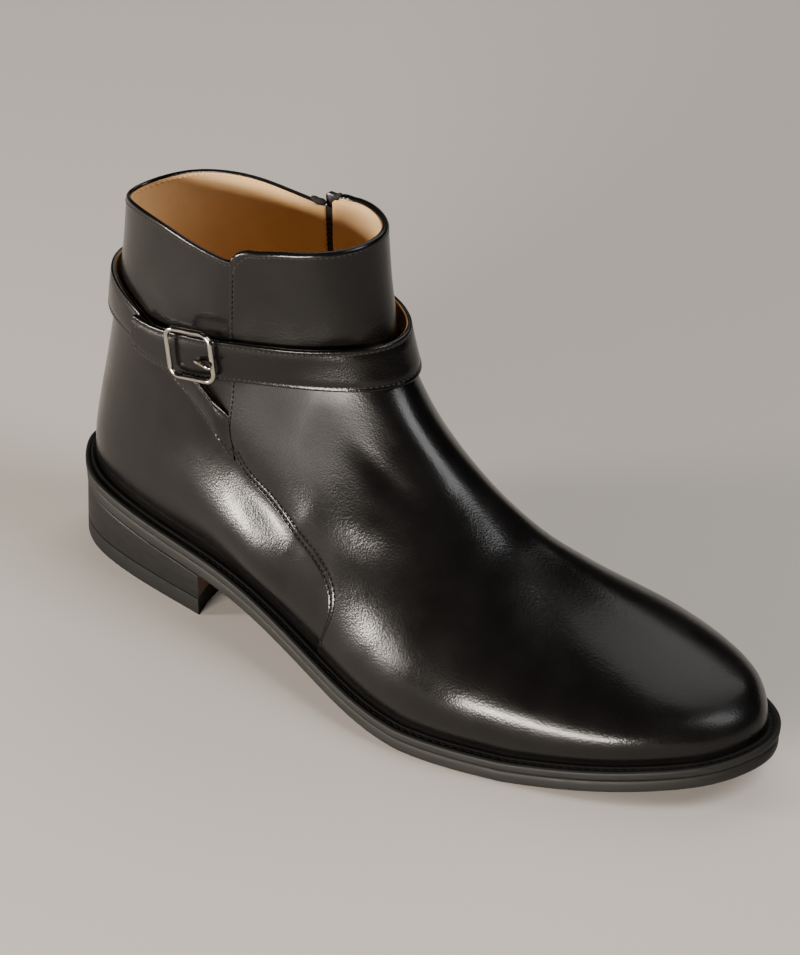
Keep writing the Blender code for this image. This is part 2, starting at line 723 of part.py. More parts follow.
def on_buckle(along, wide, out):
    """Point in the buckle's own axes."""
    return plane + axis_long * along + axis_wide * wide + axis_out * out


half_long = BUCKLE_LONG / 2.0 - BUCKLE_WIRE
half_wide = BUCKLE_WIDE / 2.0 - BUCKLE_WIRE
frame_path = []
for quarter, (sx, sy) in enumerate(((1, 1), (-1, 1), (-1, -1), (1, -1))):
    for step in range(6):
        t = math.pi / 2.0 * (quarter + step / 5.0)
        frame_path.append(on_buckle(sx * (half_long - BUCKLE_ROUND) + BUCKLE_ROUND * math.cos(t),
                                    sy * (half_wide - BUCKLE_ROUND) + BUCKLE_ROUND * math.sin(t), 0.0))
buckle_frame = bar("buckle_frame", frame_path, [BUCKLE_WIRE] * len(frame_path), BOOT, closed=True, flat=axis_out)
PRONG = table("along out radius", [
    (2.00, -0.25, 0.80),
    (3.40, 0.00, 0.95),
    (5.20, 0.75, 0.95),
    (7.35, 1.75, 0.90),
    (9.35, 2.40, 0.85),
    (11.00, 2.25, 0.70)])
prong_path = [on_buckle(a, -BUCKLE_RAISE, o) for a, o in zip(PRONG["along"], PRONG["out"])]
buckle_prong = bar("buckle_prong", prong_path, PRONG["radius"], BOOT, sides=8, flat=axis_wide)

# Zip: chain in the slot, slider at the collar, pull tab on a pin


def inner_wall(x, z, out):
    """Point on the upper's inner side at a distance along, a height and a distance out from the surface."""
    ring = ankle_ring(z)
    turns = np.linspace(20.0, 160.0, 141)
    points = np.array([ring(t, out) for t in turns])
    return np.array([x, np.interp(-x, -points[:, 0], points[:, 1]), z])


chain_z = np.linspace(ZIP_LOW + GAP, ZIP_HIGH, 16)
chain_x = ZIP_ALONG + np.array([-1.0, 0.0, 1.0]) * (ZIP_SLOT / 2.0 - GAP)
chain_low = np.array([[inner_wall(x, z, -WALL + 0.2) for x in chain_x] for z in chain_z])
chain_high = np.array([[inner_wall(x, z, -0.2) for x in chain_x] for z in chain_z])
zip_chain = slab("zip_chain", chain_low, chain_high, BOOT)

zip_spot = inner_wall(ZIP_ALONG, SLIDER_HIGH, 0.0)
zip_up = inner_wall(ZIP_ALONG, SLIDER_HIGH, 0.0) - inner_wall(ZIP_ALONG, SLIDER_HIGH - 12.0, 0.0)
zip_up /= np.linalg.norm(zip_up)
zip_side = inner_wall(ZIP_ALONG + 3.0, SLIDER_HIGH, 0.0) - inner_wall(ZIP_ALONG - 3.0, SLIDER_HIGH, 0.0)
zip_side -= zip_up * float(zip_side @ zip_up)
zip_side /= np.linalg.norm(zip_side)
zip_out = np.cross(zip_up, zip_side)


def on_zip(side, up, out):
    """Point in the slider's own axes."""
    return zip_spot + zip_side * side + zip_up * up + zip_out * out


def block(name, side, up, out, collection):
    """Box in the slider's own axes from three ranges."""
    grid = [np.array([[on_zip(s, u, o) for s in side] for u in up]) for o in out]
    return slab(name, grid[0], grid[1], collection)


def disc_bar(name, side, up, out, radius, collection, sides=14):
    """Round bar across the slider."""
    return bar(name, [on_zip(s, up, out) for s in side], [radius, radius], collection, sides, False, zip_up)


zip_slider = block("zip_slider", (-SLIDER_WIDE / 2.0, SLIDER_WIDE / 2.0), (-SLIDER_LONG / 2.0, SLIDER_LONG / 2.0),
                   (SLIDER_SEAT, SLIDER_SEAT + SLIDER_THICK), BOOT)
pin_out = SLIDER_SEAT + SLIDER_THICK + EYE_RADIUS + GAP
for lug_side in (-1.0, 1.0):
    near, far = sorted((lug_side * LUG_IN, lug_side * (LUG_IN + LUG_THICK)))
    lug = block("lug", (near, far), (-EYE_RADIUS, EYE_RADIUS),
                (SLIDER_SEAT + SLIDER_THICK / 2.0, pin_out + EYE_RADIUS), CUTTERS)
    combine(zip_slider, lug, "UNION")
pin = disc_bar("pin", (-LUG_IN - LUG_THICK / 2.0, LUG_IN + LUG_THICK / 2.0), 0.0, pin_out, PIN_RADIUS, CUTTERS)
combine(zip_slider, pin, "UNION")

zip_pull = disc_bar("zip_pull", (-LUG_IN + GAP, LUG_IN - GAP), 0.0, pin_out, EYE_RADIUS, BOOT, 20)
for part_name, half, part_up in (("neck", LUG_IN - 1.5 * GAP, (-NECK_LONG - 1.0, 0.0)),
                                 ("tab", PULL_WIDE / 2.0, (-PULL_LONG, -NECK_LONG))):
    piece = block(part_name, (-half, half), part_up,
                  (pin_out - PULL_THICK / 2.0, pin_out + PULL_THICK / 2.0), CUTTERS)
    combine(zip_pull, piece, "UNION")
bore = disc_bar("bore", (-LUG_IN - 2.0, LUG_IN + 2.0), 0.0, pin_out, PIN_RADIUS + GAP, CUTTERS, 20)
combine(zip_pull, bore, "DIFFERENCE")

# Turning point of the pull tab
pivot = (on_zip(0.0, 0.0, pin_out) + SHIFT) * MM
for vertex in zip_pull.data.vertices:
    vertex.co = vertex.co - Vector(pivot)
zip_pull.location = pivot

# Surfaces
LOOKS = (
    (outsole, "sole_leather_black", (0.030, 0.030, 0.031), 0.45, 0.0),
    (welt, "welt_leather_black", (0.016, 0.016, 0.016), 0.50, 0.0),
    (heel_stack, "stacked_leather", (0.180, 0.075, 0.030), 0.55, 0.0),
    (heel_top_lift, "rubber_black", (0.022, 0.022, 0.022), 0.70, 0.0),
    (insole, "insole_leather_tan", (0.450, 0.250, 0.110), 0.60, 0.0),
    (upper, "calf_leather_black", (0.008, 0.008, 0.008), 0.22, 0.0),
    (strap, "strap_leather_black", (0.010, 0.010, 0.010), 0.28, 0.0),
    (buckle_frame, "nickel_polished", (0.700, 0.660, 0.600), 0.18, 1.0),
    (buckle_prong, "nickel_prong", (0.700, 0.660, 0.600), 0.20, 1.0),
    (zip_chain, "zip_tape_black", (0.015, 0.015, 0.015), 0.60, 0.0),
    (zip_slider, "zip_metal_black", (0.050, 0.050, 0.050), 0.35, 1.0),
    (zip_pull, "zip_pull_black", (0.050, 0.050, 0.050), 0.35, 1.0))
for item, look, colour, rough, metal in LOOKS:
    item.data.materials.clear()
    item.data.materials.append(material(look, colour, rough, metal))
    item.data.polygons.foreach_set("material_index", [0] * len(item.data.polygons))
    item.data.shade_smooth()
    item.data.set_sharp_from_angle(angle=math.radians(38.0))
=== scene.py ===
"""Looks of the right ankle boot: polished black calf, tan lining, strap, inside zip and welted sole."""
import math

import bmesh
import bpy
import numpy as np
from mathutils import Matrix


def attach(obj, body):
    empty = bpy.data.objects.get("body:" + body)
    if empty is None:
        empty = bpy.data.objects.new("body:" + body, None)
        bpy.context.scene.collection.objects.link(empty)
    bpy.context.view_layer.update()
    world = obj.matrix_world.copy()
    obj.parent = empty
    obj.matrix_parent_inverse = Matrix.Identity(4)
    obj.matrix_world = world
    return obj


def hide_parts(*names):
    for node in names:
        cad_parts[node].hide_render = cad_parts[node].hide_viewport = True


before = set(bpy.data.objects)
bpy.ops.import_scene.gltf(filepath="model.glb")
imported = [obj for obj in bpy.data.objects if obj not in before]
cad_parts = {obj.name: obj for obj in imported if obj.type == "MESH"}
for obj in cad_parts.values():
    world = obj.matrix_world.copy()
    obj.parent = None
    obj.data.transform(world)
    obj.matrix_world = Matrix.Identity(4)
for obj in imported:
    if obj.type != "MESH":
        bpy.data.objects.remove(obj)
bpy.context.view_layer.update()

MM = 0.001

# Camera: where the photograph was taken from, and the point of the boot that it looks at, in metres
CAMERA_AT = (1.0090, -1.2360, 1.0437)
CAMERA_LOOKS_AT = (-0.006, 0.004, 0.066)
CAMERA_LENS = 205.0

# Main sizes of the boot, millimetres
SOLE_LENGTH = 300.0
BALL_WIDTH = 100.0
GAP = 0.3

# Sole: thicknesses, steps of the side, heel
WELT_THICK = 3.3
SOLE_THICK = 8.6
WELT_WIDE = 8.3
OUTSOLE_STEP = 0.7
FEATHER_INSET = 5.6
HEEL_LONG = 80.0
HEEL_HOLLOW = 7.0
HEEL_STEP_TOP = 1.0
HEEL_STEP_FLOOR = 1.6
HEEL_TRIM = 2.1
LIFT_THICK = 6.5
LEATHER_LIFT = 4.2
INSOLE_THICK = 3.5
SOCK_OVER = 1.0

# Upper: leather, lining and the front panel that lies over the rear quarter
PANEL_STEP = 0.9
PANEL_ROUND = 1.0
PANEL_TUCK = 0.2
RIM_IN = 1.7
RIM_DROP = 1.3
LINING_DEEP = 2.2
LINING_OVER_RIM = 0.15
CORNER_ROUND = 9.0
CORNER_DROP = 6.0
HEEL_SQUARE = 0.6
HEEL_ROUND = 1.4
BLEND_WIDE = 0.12
BLEND_REACH = 0.30
CUP_FULL = 0.07
CUP_HIGH = 20.0
CUP_REACH = (45.0, 115.0)
CUP_TOP = (65.0, 118.0)
CUP_THIN = (60.0, 110.0)
ANKLE = 78.0
COLLAR_FROM = 1.80
CORNER_END = 103.0
FOOT_TUCK = 0.5
QUARTER_UNDER = 5.0
UNDER_GROWS = 12.0
QUARTER_THIN = 0.7
INNER_SIDE = 0.012
SLOT_TURN_IN = 1.2

# Strap, buckle and zip
STRAP_THICK = 2.0
STRAP_ROUND = 0.6
SEWN_FROM = -76.0
SEWN_THIN = 0.6
SEWN_DOWN = (-118.0, -95.0)
ROUND_SIDES = 16
BUCKLE_WIRE = 1.2
BUCKLE_WIRE_SHOWN = 0.95
BUCKLE_LONG = 21.4
BUCKLE_WIDE = 20.4
BUCKLE_ROUND = 3.6
BUCKLE_TURN = -446.5
BUCKLE_RAISE = 2.0
BUCKLE_SAG = 0.25
HOLE_ALONG = 2.4
HOLE_RADIUS = 1.3
ZIP_ALONG = 91.2
ZIP_SLOT = 6.6
LINING_SLOT = 3.4
ZIP_LOW = 52.0
ZIP_HIGH = 144.0
PIN_RADIUS = 0.6
EYE_RADIUS = 1.6
PULL_LONG = 17.0
PULL_WIDE = 5.0
PULL_THICK = 1.2
LUG_IN = 1.9
LUG_THICK = 0.9
SLIDER_HIGH = 142.5
SLIDER_WIDE = 5.9
SLIDER_LONG = 10.0
SLIDER_THICK = 2.6
SLIDER_SEAT = 0.15
TAPE_DEEP = (-0.95, -1.25)
TAPE_END = 1.5

# Stitching: distance between stitches, length and thickness of one, rows from the edge and their grooves
STITCH_PITCH = 2.0
STITCH_LONG = 1.35
STITCH_THICK = 0.42
ROW_NEAR = 1.7
ROW_FAR = 4.0
COLLAR_ROW = 2.6
CORNER_ROW = 1.90
STRAP_ROW = 1.5
ROW_DEEP = 0.32
ROW_SOFT = 0.5
STITCH_SINK = 0.18
DOUBLE_BELOW = 73.0
INNER_ROW_BELOW = 66.0

# Pitch, length, width and thickness of each kind of stitch and of the zip's teeth
STITCH = (STITCH_PITCH, STITCH_LONG, STITCH_THICK, STITCH_THICK)
SEAM_STITCH = (STITCH_PITCH, STITCH_LONG, 0.6, 0.5)
WELT_STITCH = (3.2, 2.7, 0.7, 0.5)
TEETH = (2.0, 1.05, 2.9, 1.3)


def table(names, rows):
    """Named columns of a short table."""
    return dict(zip(names.split(), np.array(rows, float).T))


# Plan of the sole: share of the length, then outer and inner half width in percent of the ball width
PLAN = table("along outer inner", [
    (0.000, 0.0, 0.0), (0.020, 13.6, 15.5), (0.060, 23.2, 25.8), (0.120, 29.4, 31.3),
    (0.200, 33.4, 33.2), (0.300, 37.2, 31.0), (0.400, 43.4, 29.2), (0.480, 49.4, 31.2),
    (0.560, 55.0, 37.0), (0.640, 56.4, 44.0), (0.720, 52.2, 47.8), (0.800, 45.0, 46.0),
    (0.880, 35.9, 39.0), (0.950, 23.8, 27.8), (0.985, 12.4, 17.2), (1.000, -4.4, 4.4)])

# Height of the welt's top above the floor: heel seat, arch, ball, toe spring
RISE = table("along high", [
    (0.000, 32.4), (0.200, 27.2), (0.367, 22.2), (0.500, 14.2), (0.650, 8.1), (0.833, 11.2), (1.000, 20.4)])

# Crest of the upper in side view from the toe up the instep and the shaft's front
CREST = table("along high", [
    (294.0, 24.8), (291.4, 29.4), (286.0, 32.8), (277.0, 34.6), (263.0, 37.0), (247.0, 41.1),
    (229.0, 47.6), (211.0, 56.6), (194.5, 65.8), (180.0, 74.8), (167.0, 84.0), (156.0, 93.5),
    (147.5, 103.0), (141.5, 112.5), (137.3, 122.5), (134.6, 133.5), (133.0, 144.5), (132.0, 154.5)])

# Back line of the upper in side view from the heel seat to the collar
BACK = table("along high", [
    (7.0, 44.0), (9.3, 56.0), (12.5, 70.0), (16.0, 84.0),
    (19.2, 98.0), (21.6, 112.0), (23.1, 126.0), (24.0, 140.0)])

# Sections from the toe over the instep to the collar, with the same columns as the solid upper
FORM = table("base crest swell outer inner widest full mid", [
    (0.00, 0.000, 0.0, 36.0, 36.0, 0.20, 2.30, 4.4),
    (0.05, 0.060, 0.6, 36.0, 36.0, 0.21, 2.30, 4.8),
    (0.10, 0.098, 1.2, 37.0, 36.0, 0.22, 2.30, 5.0),
    (0.20, 0.180, 1.9, 38.0, 36.0, 0.22, 2.20, 4.8),
    (0.30, 0.270, 2.2, 40.0, 35.0, 0.22, 2.10, 3.2),
    (0.40, 0.372, 2.3, 42.0, 34.5, 0.21, 2.00, 1.0),
    (0.50, 0.482, 2.5, 42.5, 34.0, 0.21, 1.88, -1.0),
    (0.60, 0.595, 3.5, 41.0, 33.4, 0.24, 1.80, -2.2),
    (0.70, 0.688, 4.0, 37.4, 33.0, 0.31, 1.82, -2.2),
    (0.80, 0.757, 4.0, 34.2, 32.4, 0.38, 1.90, -1.0),
    (0.90, 0.811, 4.0, 32.1, 31.4, 0.42, 1.98, -0.2),
    (1.00, 0.850, 4.0, 30.7, 30.4, 0.44, 2.02, 0.0),
    (1.20, 0.876, 4.0, 30.1, 30.0, 0.46, 2.05, 0.0),
    (1.50, 0.915, 4.0, 29.1, 29.1, 0.49, 2.08, 0.0),
    (1.80, 0.965, 4.0, 27.6, 27.6, 0.55, 2.10, 0.0),
    (2.00, 1.000, 4.0, 26.8, 26.8, 0.59, 2.10, 0.0)])

# Collar edge over the straight line from back to front: along the boot, lift
COLLAR = table("along lift", [
    (24.0, 0.0), (34.0, 2.0), (45.0, 2.4), (60.0, 0.8), (75.0, -2.5), (86.0, -4.7),
    (91.0, -5.0), (97.0, -1.9), (103.0, 0.0), (112.0, 0.6), (123.0, 0.3), (134.5, 0.0)])

# Seam between the rear quarter and the front panel in side view, from the collar to the sole
SEAM = table("along high", [
    (91.2, 170.0), (91.2, 140.0), (91.2, 112.0), (92.0, 86.0), (92.6, 72.5), (97.0, 66.2), (108.0, 62.0),
    (121.0, 56.8), (132.5, 51.0), (141.5, 45.0), (146.8, 38.0), (147.2, 29.0), (143.5, 18.0), (141.5, 5.0)])

# Strap by turn about the ankle: heights of its edges and how far each edge stands off
STRAP = table("turn low high low_off high_off", [
    (-64.3, 67.6, 85.3, 0.1, 0.1), (-67.5, 69.5, 86.5, 0.2, 0.2),
    (-78.0, 75.8, 90.5, 0.4, 0.4), (-92.0, 82.0, 96.0, 0.4, 0.4),
    (-110.0, 90.0, 102.5, 0.4, 0.4), (-128.0, 95.0, 107.5, 0.4, 0.5), (-146.0, 98.0, 111.5, 0.6, 1.0),
    (-168.0, 98.5, 113.5, 0.7, 1.4), (-195.0, 98.5, 114.5, 0.8, 1.6), (-230.0, 99.0, 115.5, 0.9, 1.5),
    (-265.0, 100.0, 116.5, 1.0, 1.6), (-300.0, 101.5, 117.5, 1.4, 2.2), (-330.0, 103.5, 118.8, 1.9, 3.1),
    (-350.0, 105.3, 120.4, 1.9, 3.8), (-365.0, 106.0, 120.8, 1.9, 4.0), (-380.0, 104.8, 119.6, 1.8, 3.8),
    (-400.0, 102.2, 117.8, 1.6, 3.3), (-420.0, 100.0, 115.8, 1.6, 3.0), (-435.0, 98.0, 114.0, 1.9, 2.7),
    (-455.0, 96.3, 112.3, 2.8, 2.8), (-470.0, 95.3, 111.0, 2.9, 2.9), (-484.0, 95.2, 109.8, 2.9, 3.0),
    (-497.0, 96.7, 109.6, 3.0, 3.3)])

# Prong of the buckle along the strap
PRONG = table("along out radius", [
    (2.00, -0.25, 0.80), (3.40, 0.00, 0.95), (5.20, 0.75, 0.95),
    (7.35, 1.75, 0.90), (9.35, 2.40, 0.85), (11.00, 2.25, 0.70)])

# Creases of the worn-in leather: middle line through three points, half width, height (below zero a trough),
# and how much of it stands up again as lips beside it
CREASES = (
    ((54.0, -27.0, 96.0), (74.0, -28.0, 84.0), (92.0, -31.0, 69.0), 6.0, -1.4, 0.0),
    ((84.0, -31.0, 71.0), (109.0, -35.0, 61.0), (134.0, -40.0, 50.0), 8.0, -1.3, 0.0),
    ((56.0, -31.0, 73.0), (93.0, -33.0, 66.0), (128.0, -37.0, 54.0), 13.0, -2.6, 0.0),
    ((58.0, -35.0, 47.0), (92.0, -39.0, 43.0), (126.0, -43.0, 32.0), 10.0, 1.8, 0.0),
    ((130.0, -20.0, 104.0), (147.0, -20.0, 88.0), (168.0, -18.0, 73.0), 11.0, -1.0, 0.0),
    ((122.0, -39.0, 57.0), (152.0, -33.5, 64.0), (184.0, -24.0, 65.5), 7.5, 0.5, 0.0),
    ((140.0, -22.0, 90.0), (154.0, -21.0, 80.0), (169.0, -20.0, 72.0), 3.2, -0.40, 0.35),
    ((143.0, -11.0, 102.0), (157.0, -9.0, 90.0), (176.0, -9.0, 76.0), 8.0, 0.7, 0.35),
    ((118.0, 27.0, 90.0), (136.0, 25.0, 82.0), (156.0, 24.0, 70.0), 5.0, -0.7, 0.35),
    ((130.0, 30.0, 74.0), (146.0, 28.0, 67.0), (162.0, 26.0, 60.0), 7.0, 0.5, 0.35),
    ((192.0, -30.0, 52.0), (200.0, 0.0, 62.0), (196.0, 27.0, 50.0), 7.0, -0.35, 0.35))

# Places where the leather is less polished: middle, reach, how much rougher
DULL = (
    ((112.0, -30.0, 96.0), 22.0, 0.42),
    ((128.0, -27.0, 92.0), 18.0, 0.36),
    ((288.0, -6.0, 38.0), 15.0, 0.20))


def spline(knots, values):
    """Smooth curve through a table's points with free ends."""
    knots = np.asarray(knots, float)
    values = np.asarray(values, float)
    count = len(knots)
    step = np.diff(knots)
    lhs = np.eye(count)
    rhs = np.zeros(values.shape)
    slope = np.diff(values, axis=0) / step.reshape((-1,) + (1,) * (values.ndim - 1))
    for i in range(1, count - 1):
        lhs[i, i - 1:i + 2] = (step[i - 1], 2.0 * (step[i - 1] + step[i]), step[i])
        rhs[i] = 6.0 * (slope[i] - slope[i - 1])
    bend = np.linalg.solve(lhs, rhs)

    def at(where):
        where = np.clip(np.asarray(where, float), knots[0], knots[-1])
        i = np.clip(np.searchsorted(knots, where) - 1, 0, count - 2)
        h = step[i]
        a = (knots[i + 1] - where) / h
        b = 1.0 - a
        shape = np.shape(where) + (1,) * (values.ndim - 1)
        a, b, h = a.reshape(shape), b.reshape(shape), np.reshape(h, shape)
        cube = ((a ** 3 - a) * bend[i] + (b ** 3 - b) * bend[i + 1]) * h * h / 6.0
        return a * values[i] + b * values[i + 1] + cube
    return at


def length_along(points):
    """Running length along a line of points."""
    return np.concatenate([[0.0], np.cumsum(np.linalg.norm(np.diff(points, axis=0), axis=1))])


def taper(share):
    """1 in the middle of a line, falling off towards its ends."""
    return np.sin(math.pi * (0.06 + 0.88 * share))


def ramp(low, high, value):
    """Soft step from 0 to 1."""
    t = np.clip((value - low) / (high - low), 0.0, 1.0)
    return t * t * (3.0 - 2.0 * t)


def unit(vectors):
    """Directions of length one."""
    return vectors / np.maximum(np.linalg.norm(vectors, axis=-1, keepdims=True), 1e-9)


# Form of the sole
rise = spline(RISE["along"] * SOLE_LENGTH, RISE["high"])


def floor_side(x):
    """Underside of the outsole, flat where the ball stands."""
    return np.maximum(rise(x) - SOLE_THICK, 0.0)


def welt_low(x):
    """Underside of the welt."""
    return floor_side(x) + SOLE_THICK - WELT_THICK


def welt_high(x):
    """Top of the welt, where the upper stands."""
    return floor_side(x) + SOLE_THICK


def sole_outline(count=1440):
    """Closed plan of the sole, from the heel's back along the outer side to the toe and back."""
    wide = BALL_WIDTH / 100.0
    along = PLAN["along"] * SOLE_LENGTH
    outer = np.stack([along, -PLAN["outer"] * wide], 1)
    inner = np.stack([along, PLAN["inner"] * wide], 1)[1:-1][::-1]
    outer[-1, 1] = PLAN["inner"][-1] * wide
    ring = np.vstack([outer, inner])
    wrap = 5
    line = np.vstack([ring[-wrap:], ring, ring[:wrap + 1]])
    steps = np.linalg.norm(np.diff(line, axis=0), axis=1) ** 0.5
    run = np.concatenate([[0.0], np.cumsum(steps)])
    dense = spline(run, line)(np.linspace(run[wrap], run[wrap + len(ring)], 6 * count + 1))
    arc = length_along(dense)
    even = np.linspace(0.0, arc[-1], count, endpoint=False)
    return np.stack([np.interp(even, arc, dense[:, k]) for k in (0, 1)], 1)


def inset_line(line, inset, trim=HEEL_TRIM):
    """Closed line moved to its inner side. Its outer part is trimmed closer round the heel's back."""
    tangent = unit(np.roll(line, -1, 0) - np.roll(line, 1, 0))
    back = trim * (1.0 - ramp(2.0, 26.0, line[:, 0])) * max(1.0 - inset / FEATHER_INSET, 0.0)
    return line + np.stack([-tangent[:, 1], tangent[:, 0]], 1) * (inset + back)[:, None]


OUTLINE = sole_outline()
SHIFT = np.array([-SOLE_LENGTH / 2.0, -(OUTLINE[:, 1].max() + OUTLINE[:, 1].min()) / 2.0, 0.0])


def halves(inset, trim=HEEL_TRIM):
    """Outer and inner half of the inset plan, both from the toe to the heel's back."""
    ring = inset_line(OUTLINE, inset, trim)
    ring = np.roll(ring, -int(ring[:, 0].argmax()), 0)
    heel = int(ring[:, 0].argmin())
    return np.vstack([ring[heel:], ring[:1]])[::-1], ring[:heel + 1]


FEATHER_OUT, FEATHER_IN = halves(FEATHER_INSET)
FEATHER_ARC = length_along(FEATHER_OUT)
TOE_TIP = FEATHER_OUT[0]
HEEL_TIP = FEATHER_OUT[-1]


# Form of the upper, as in the solid one but for small corrections
def side_line(first, rest):
    """Side-view line with its first point on the feather, by share of its length."""
    start = np.array([[first[0], float(welt_high(first[0])) + GAP]])
    points = np.vstack([start, np.stack([rest["along"], rest["high"]], 1)])
    run = length_along(points)
    dense = spline(run, points)(np.linspace(0.0, run[-1], 2400))
    arc = length_along(dense)
    return lambda share: np.stack(
        [np.interp(np.asarray(share) * arc[-1], arc, dense[:, k]) for k in (0, 1)], -1)


crest_line = side_line(TOE_TIP, CREST)
back_line = side_line(HEEL_TIP, BACK)
BACK_DENSE = back_line(np.linspace(0.0, 1.0, 400))
BACK_LONG = float(length_along(BACK_DENSE)[-1])
FORM_AT = {name: spline(FORM["base"], FORM[name]) for name in FORM if name != "base"}
collar_lift = spline(COLLAR["along"], COLLAR["lift"])
seam_points = np.stack([SEAM["along"], SEAM["high"]], 1)
seam_run = length_along(seam_points)
SEAM_DENSE = spline(seam_run, seam_points)(np.linspace(0.0, seam_run[-1], 400))[::-1]


def seam_x(z):
    """Place of the seam along the boot at a height."""
    return np.interp(z, SEAM_DENSE[:, 1], SEAM_DENSE[:, 0])


def upper_at(base, climb, side):
    """Points of the upper's outer face. climb: 0 at the base, 1 at its widest, 2 on the crest."""
    form = {name: at(base) for name, at in FORM_AT.items()}
    share = np.clip(base, 0.0, 1.0) * FEATHER_ARC[-1]
    x = np.interp(share, FEATHER_ARC, FEATHER_OUT[:, 0])
    y_side = np.interp(share, FEATHER_ARC, FEATHER_OUT[:, 1])
    if side > 0.0:
        y_side = np.interp(-x, -FEATHER_IN[:, 0], FEATHER_IN[:, 1])
    z = welt_high(x) + GAP
    mid = form["mid"] + (TOE_TIP[1] - FORM["mid"][0]) * (1.0 - ramp(0.0, 0.1, base))
    back = back_line(np.clip(base - 1.0, 0.0, 1.0))
    x = np.where(base > 1.0, back[..., 0], x)
    z = np.where(base > 1.0, back[..., 1], z)
    crest = crest_line(np.clip(form["crest"], 0.0, 1.0))
    rear = ramp(0.5, 0.7, base)
    shaft = ramp(1.0, 2.0, base)
    foot = np.where((base <= 0.0) | (base >= 1.0), 0.0, side * (y_side - mid))
    top = (1.0 - rear) * (foot + form["swell"]) + rear * form["outer" if side < 0.0 else "inner"]
    top = np.where(base <= 0.0, 0.0, np.maximum(top, foot))
    open_share = 1.0 - np.where(base <= 0.0, 1.0, foot / np.maximum(top, 0.001))
    turn_in = 1.0 + (HEEL_ROUND - 0.4 * shaft) * np.maximum(open_share, 0.0) ** 1.8
    square = 2.0 + HEEL_SQUARE * ramp(0.75, 1.0, base) * (1.0 - shaft)
    even = np.clip(2.0 - turn_in, 0.0, 1.0)
    low = np.clip(climb, 0.0, 1.0)
    low = even * low + (1.0 - even) * (1.0 - np.cos(low * math.pi / 2.0))
    high = np.clip(climb - 1.0, 0.0, 1.0) * math.pi / 2.0
    power = 2.0 / form["full"]
    widest = form["widest"]
    share = widest * low + (1.0 - widest) * np.sin(high) ** power
    width = foot + (top - foot) * np.maximum(1.0 - (1.0 - low) ** square, 0.0) ** (1.0 / turn_in)
    width = np.where(climb > 1.0, top * np.maximum(np.cos(high), 0.0) ** power, width)
    width = np.where(climb >= 2.0, 0.0, width)
    px = x + (crest[..., 0] - x) * share
    pz = z + (crest[..., 1] - z) * share
    pz = pz + collar_lift(px) * ramp(1.55, 2.0, base)
    return np.stack([px, mid + side * width, pz], -1)


def heel_cup(points, side):
    """Half width of the heel cup, the sole's plan carried up the back line, and its share."""
    x, z = points[..., 0], points[..., 2]
    line = (FEATHER_OUT if side < 0.0 else FEATHER_IN)[::-1]
    far = np.maximum(x - np.interp(z, BACK_DENSE[:, 1], BACK_DENSE[:, 0]), 0.0)
    plan = np.sqrt(np.interp(HEEL_TIP[0] + far, line[:, 0], (line[:, 1] - HEEL_TIP[1]) ** 2))
    above = np.clip((z - welt_high(x) - GAP) / CUP_HIGH, 0.0, 1.0)
    full = 1.0 + CUP_FULL * (1.0 - (1.0 - above) ** 2) - CUP_FULL * ramp(*CUP_THIN, z)
    share = (1.0 - ramp(*CUP_REACH, far)) * (1.0 - ramp(*CUP_TOP, z))
    return plan * full, share


def upper_side(base, climb, side):
    """The same points with the turn from sole edge to back line made soft and the heel cup rounded."""
    near = np.maximum(1.0 - ((base - 1.0) / BLEND_REACH) ** 2, 0.0) ** 2
    reach = BLEND_WIDE * near * ramp(0.0, 0.9, climb)
    total = 0.0
    weight = 0.0
    for step in np.linspace(-0.9, 0.9, 13):
        part = (1.0 - step * step) ** 2
        total = total + part * upper_at(base + step * reach, climb, side)
        weight += part
    points = total / weight
    wide, share = heel_cup(points, side)
    wide = np.where((climb <= 0.0) & (base >= 1.0), 0.0, wide)
    points[..., 1] += (HEEL_TIP[1] + side * wide - points[..., 1]) * np.where(climb >= 2.0, 0.0, share)
    return points


# Meshes
def grid_faces(rows, cols, start=0, closed=False):
    """Quads of a grid of points, rows by columns. closed joins the last column to the first."""
    r, c = np.meshgrid(np.arange(rows - 1), np.arange(cols if closed else cols - 1), indexing="ij")
    c2 = (c + 1) % cols
    quads = np.stack([r * cols + c, r * cols + c2, (r + 1) * cols + c2, (r + 1) * cols + c], -1)
    return (quads.reshape(-1, 4) + start).tolist()


def grid_normals(grid):
    """Directions off a surface at its points, a grid of rows by columns, from the quads round each."""
    points = grid.reshape(-1, 3)
    quads = np.array(grid_faces(*grid.shape[:2]))
    corner = points[quads]
    across = np.cross(corner[:, 2] - corner[:, 0], corner[:, 3] - corner[:, 1])
    total = np.zeros(points.shape)
    for k in range(4):
        np.add.at(total, quads[:, k], across)
    return unit(total).reshape(grid.shape)


def put(name, data):
    """Object of the scene at the origin."""
    item = bpy.data.objects.new(name, data)
    bpy.context.scene.collection.objects.link(item)
    return item


def new_piece(name, points, faces, looks, body="boot", stands_for=(), closed=True, picks=None):
    """Piece of the boot from points in millimetres, riding on a body. picks gives a face its material."""
    mesh = bpy.data.meshes.new(name)
    mesh.from_pydata(((np.asarray(points).reshape(-1, 3) + SHIFT) * MM).tolist(), [], faces)
    for look in looks:
        mesh.materials.append(look)
    if picks is not None:
        mesh.polygons.foreach_set("material_index", np.asarray(picks, np.int32))
    work = bmesh.new()
    work.from_mesh(mesh)
    bmesh.ops.remove_doubles(work, verts=work.verts, dist=0.000004)
    bmesh.ops.dissolve_degenerate(work, edges=work.edges, dist=0.0000005)
    if closed:
        bmesh.ops.recalc_face_normals(work, faces=work.faces)
    work.to_mesh(mesh)
    work.free()
    mesh.shade_smooth()
    if closed:
        mesh.set_sharp_from_angle(angle=math.radians(50.0))
    item = put(name, mesh)
    if stands_for:
        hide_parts(*stands_for)
    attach(item, body)
    return item


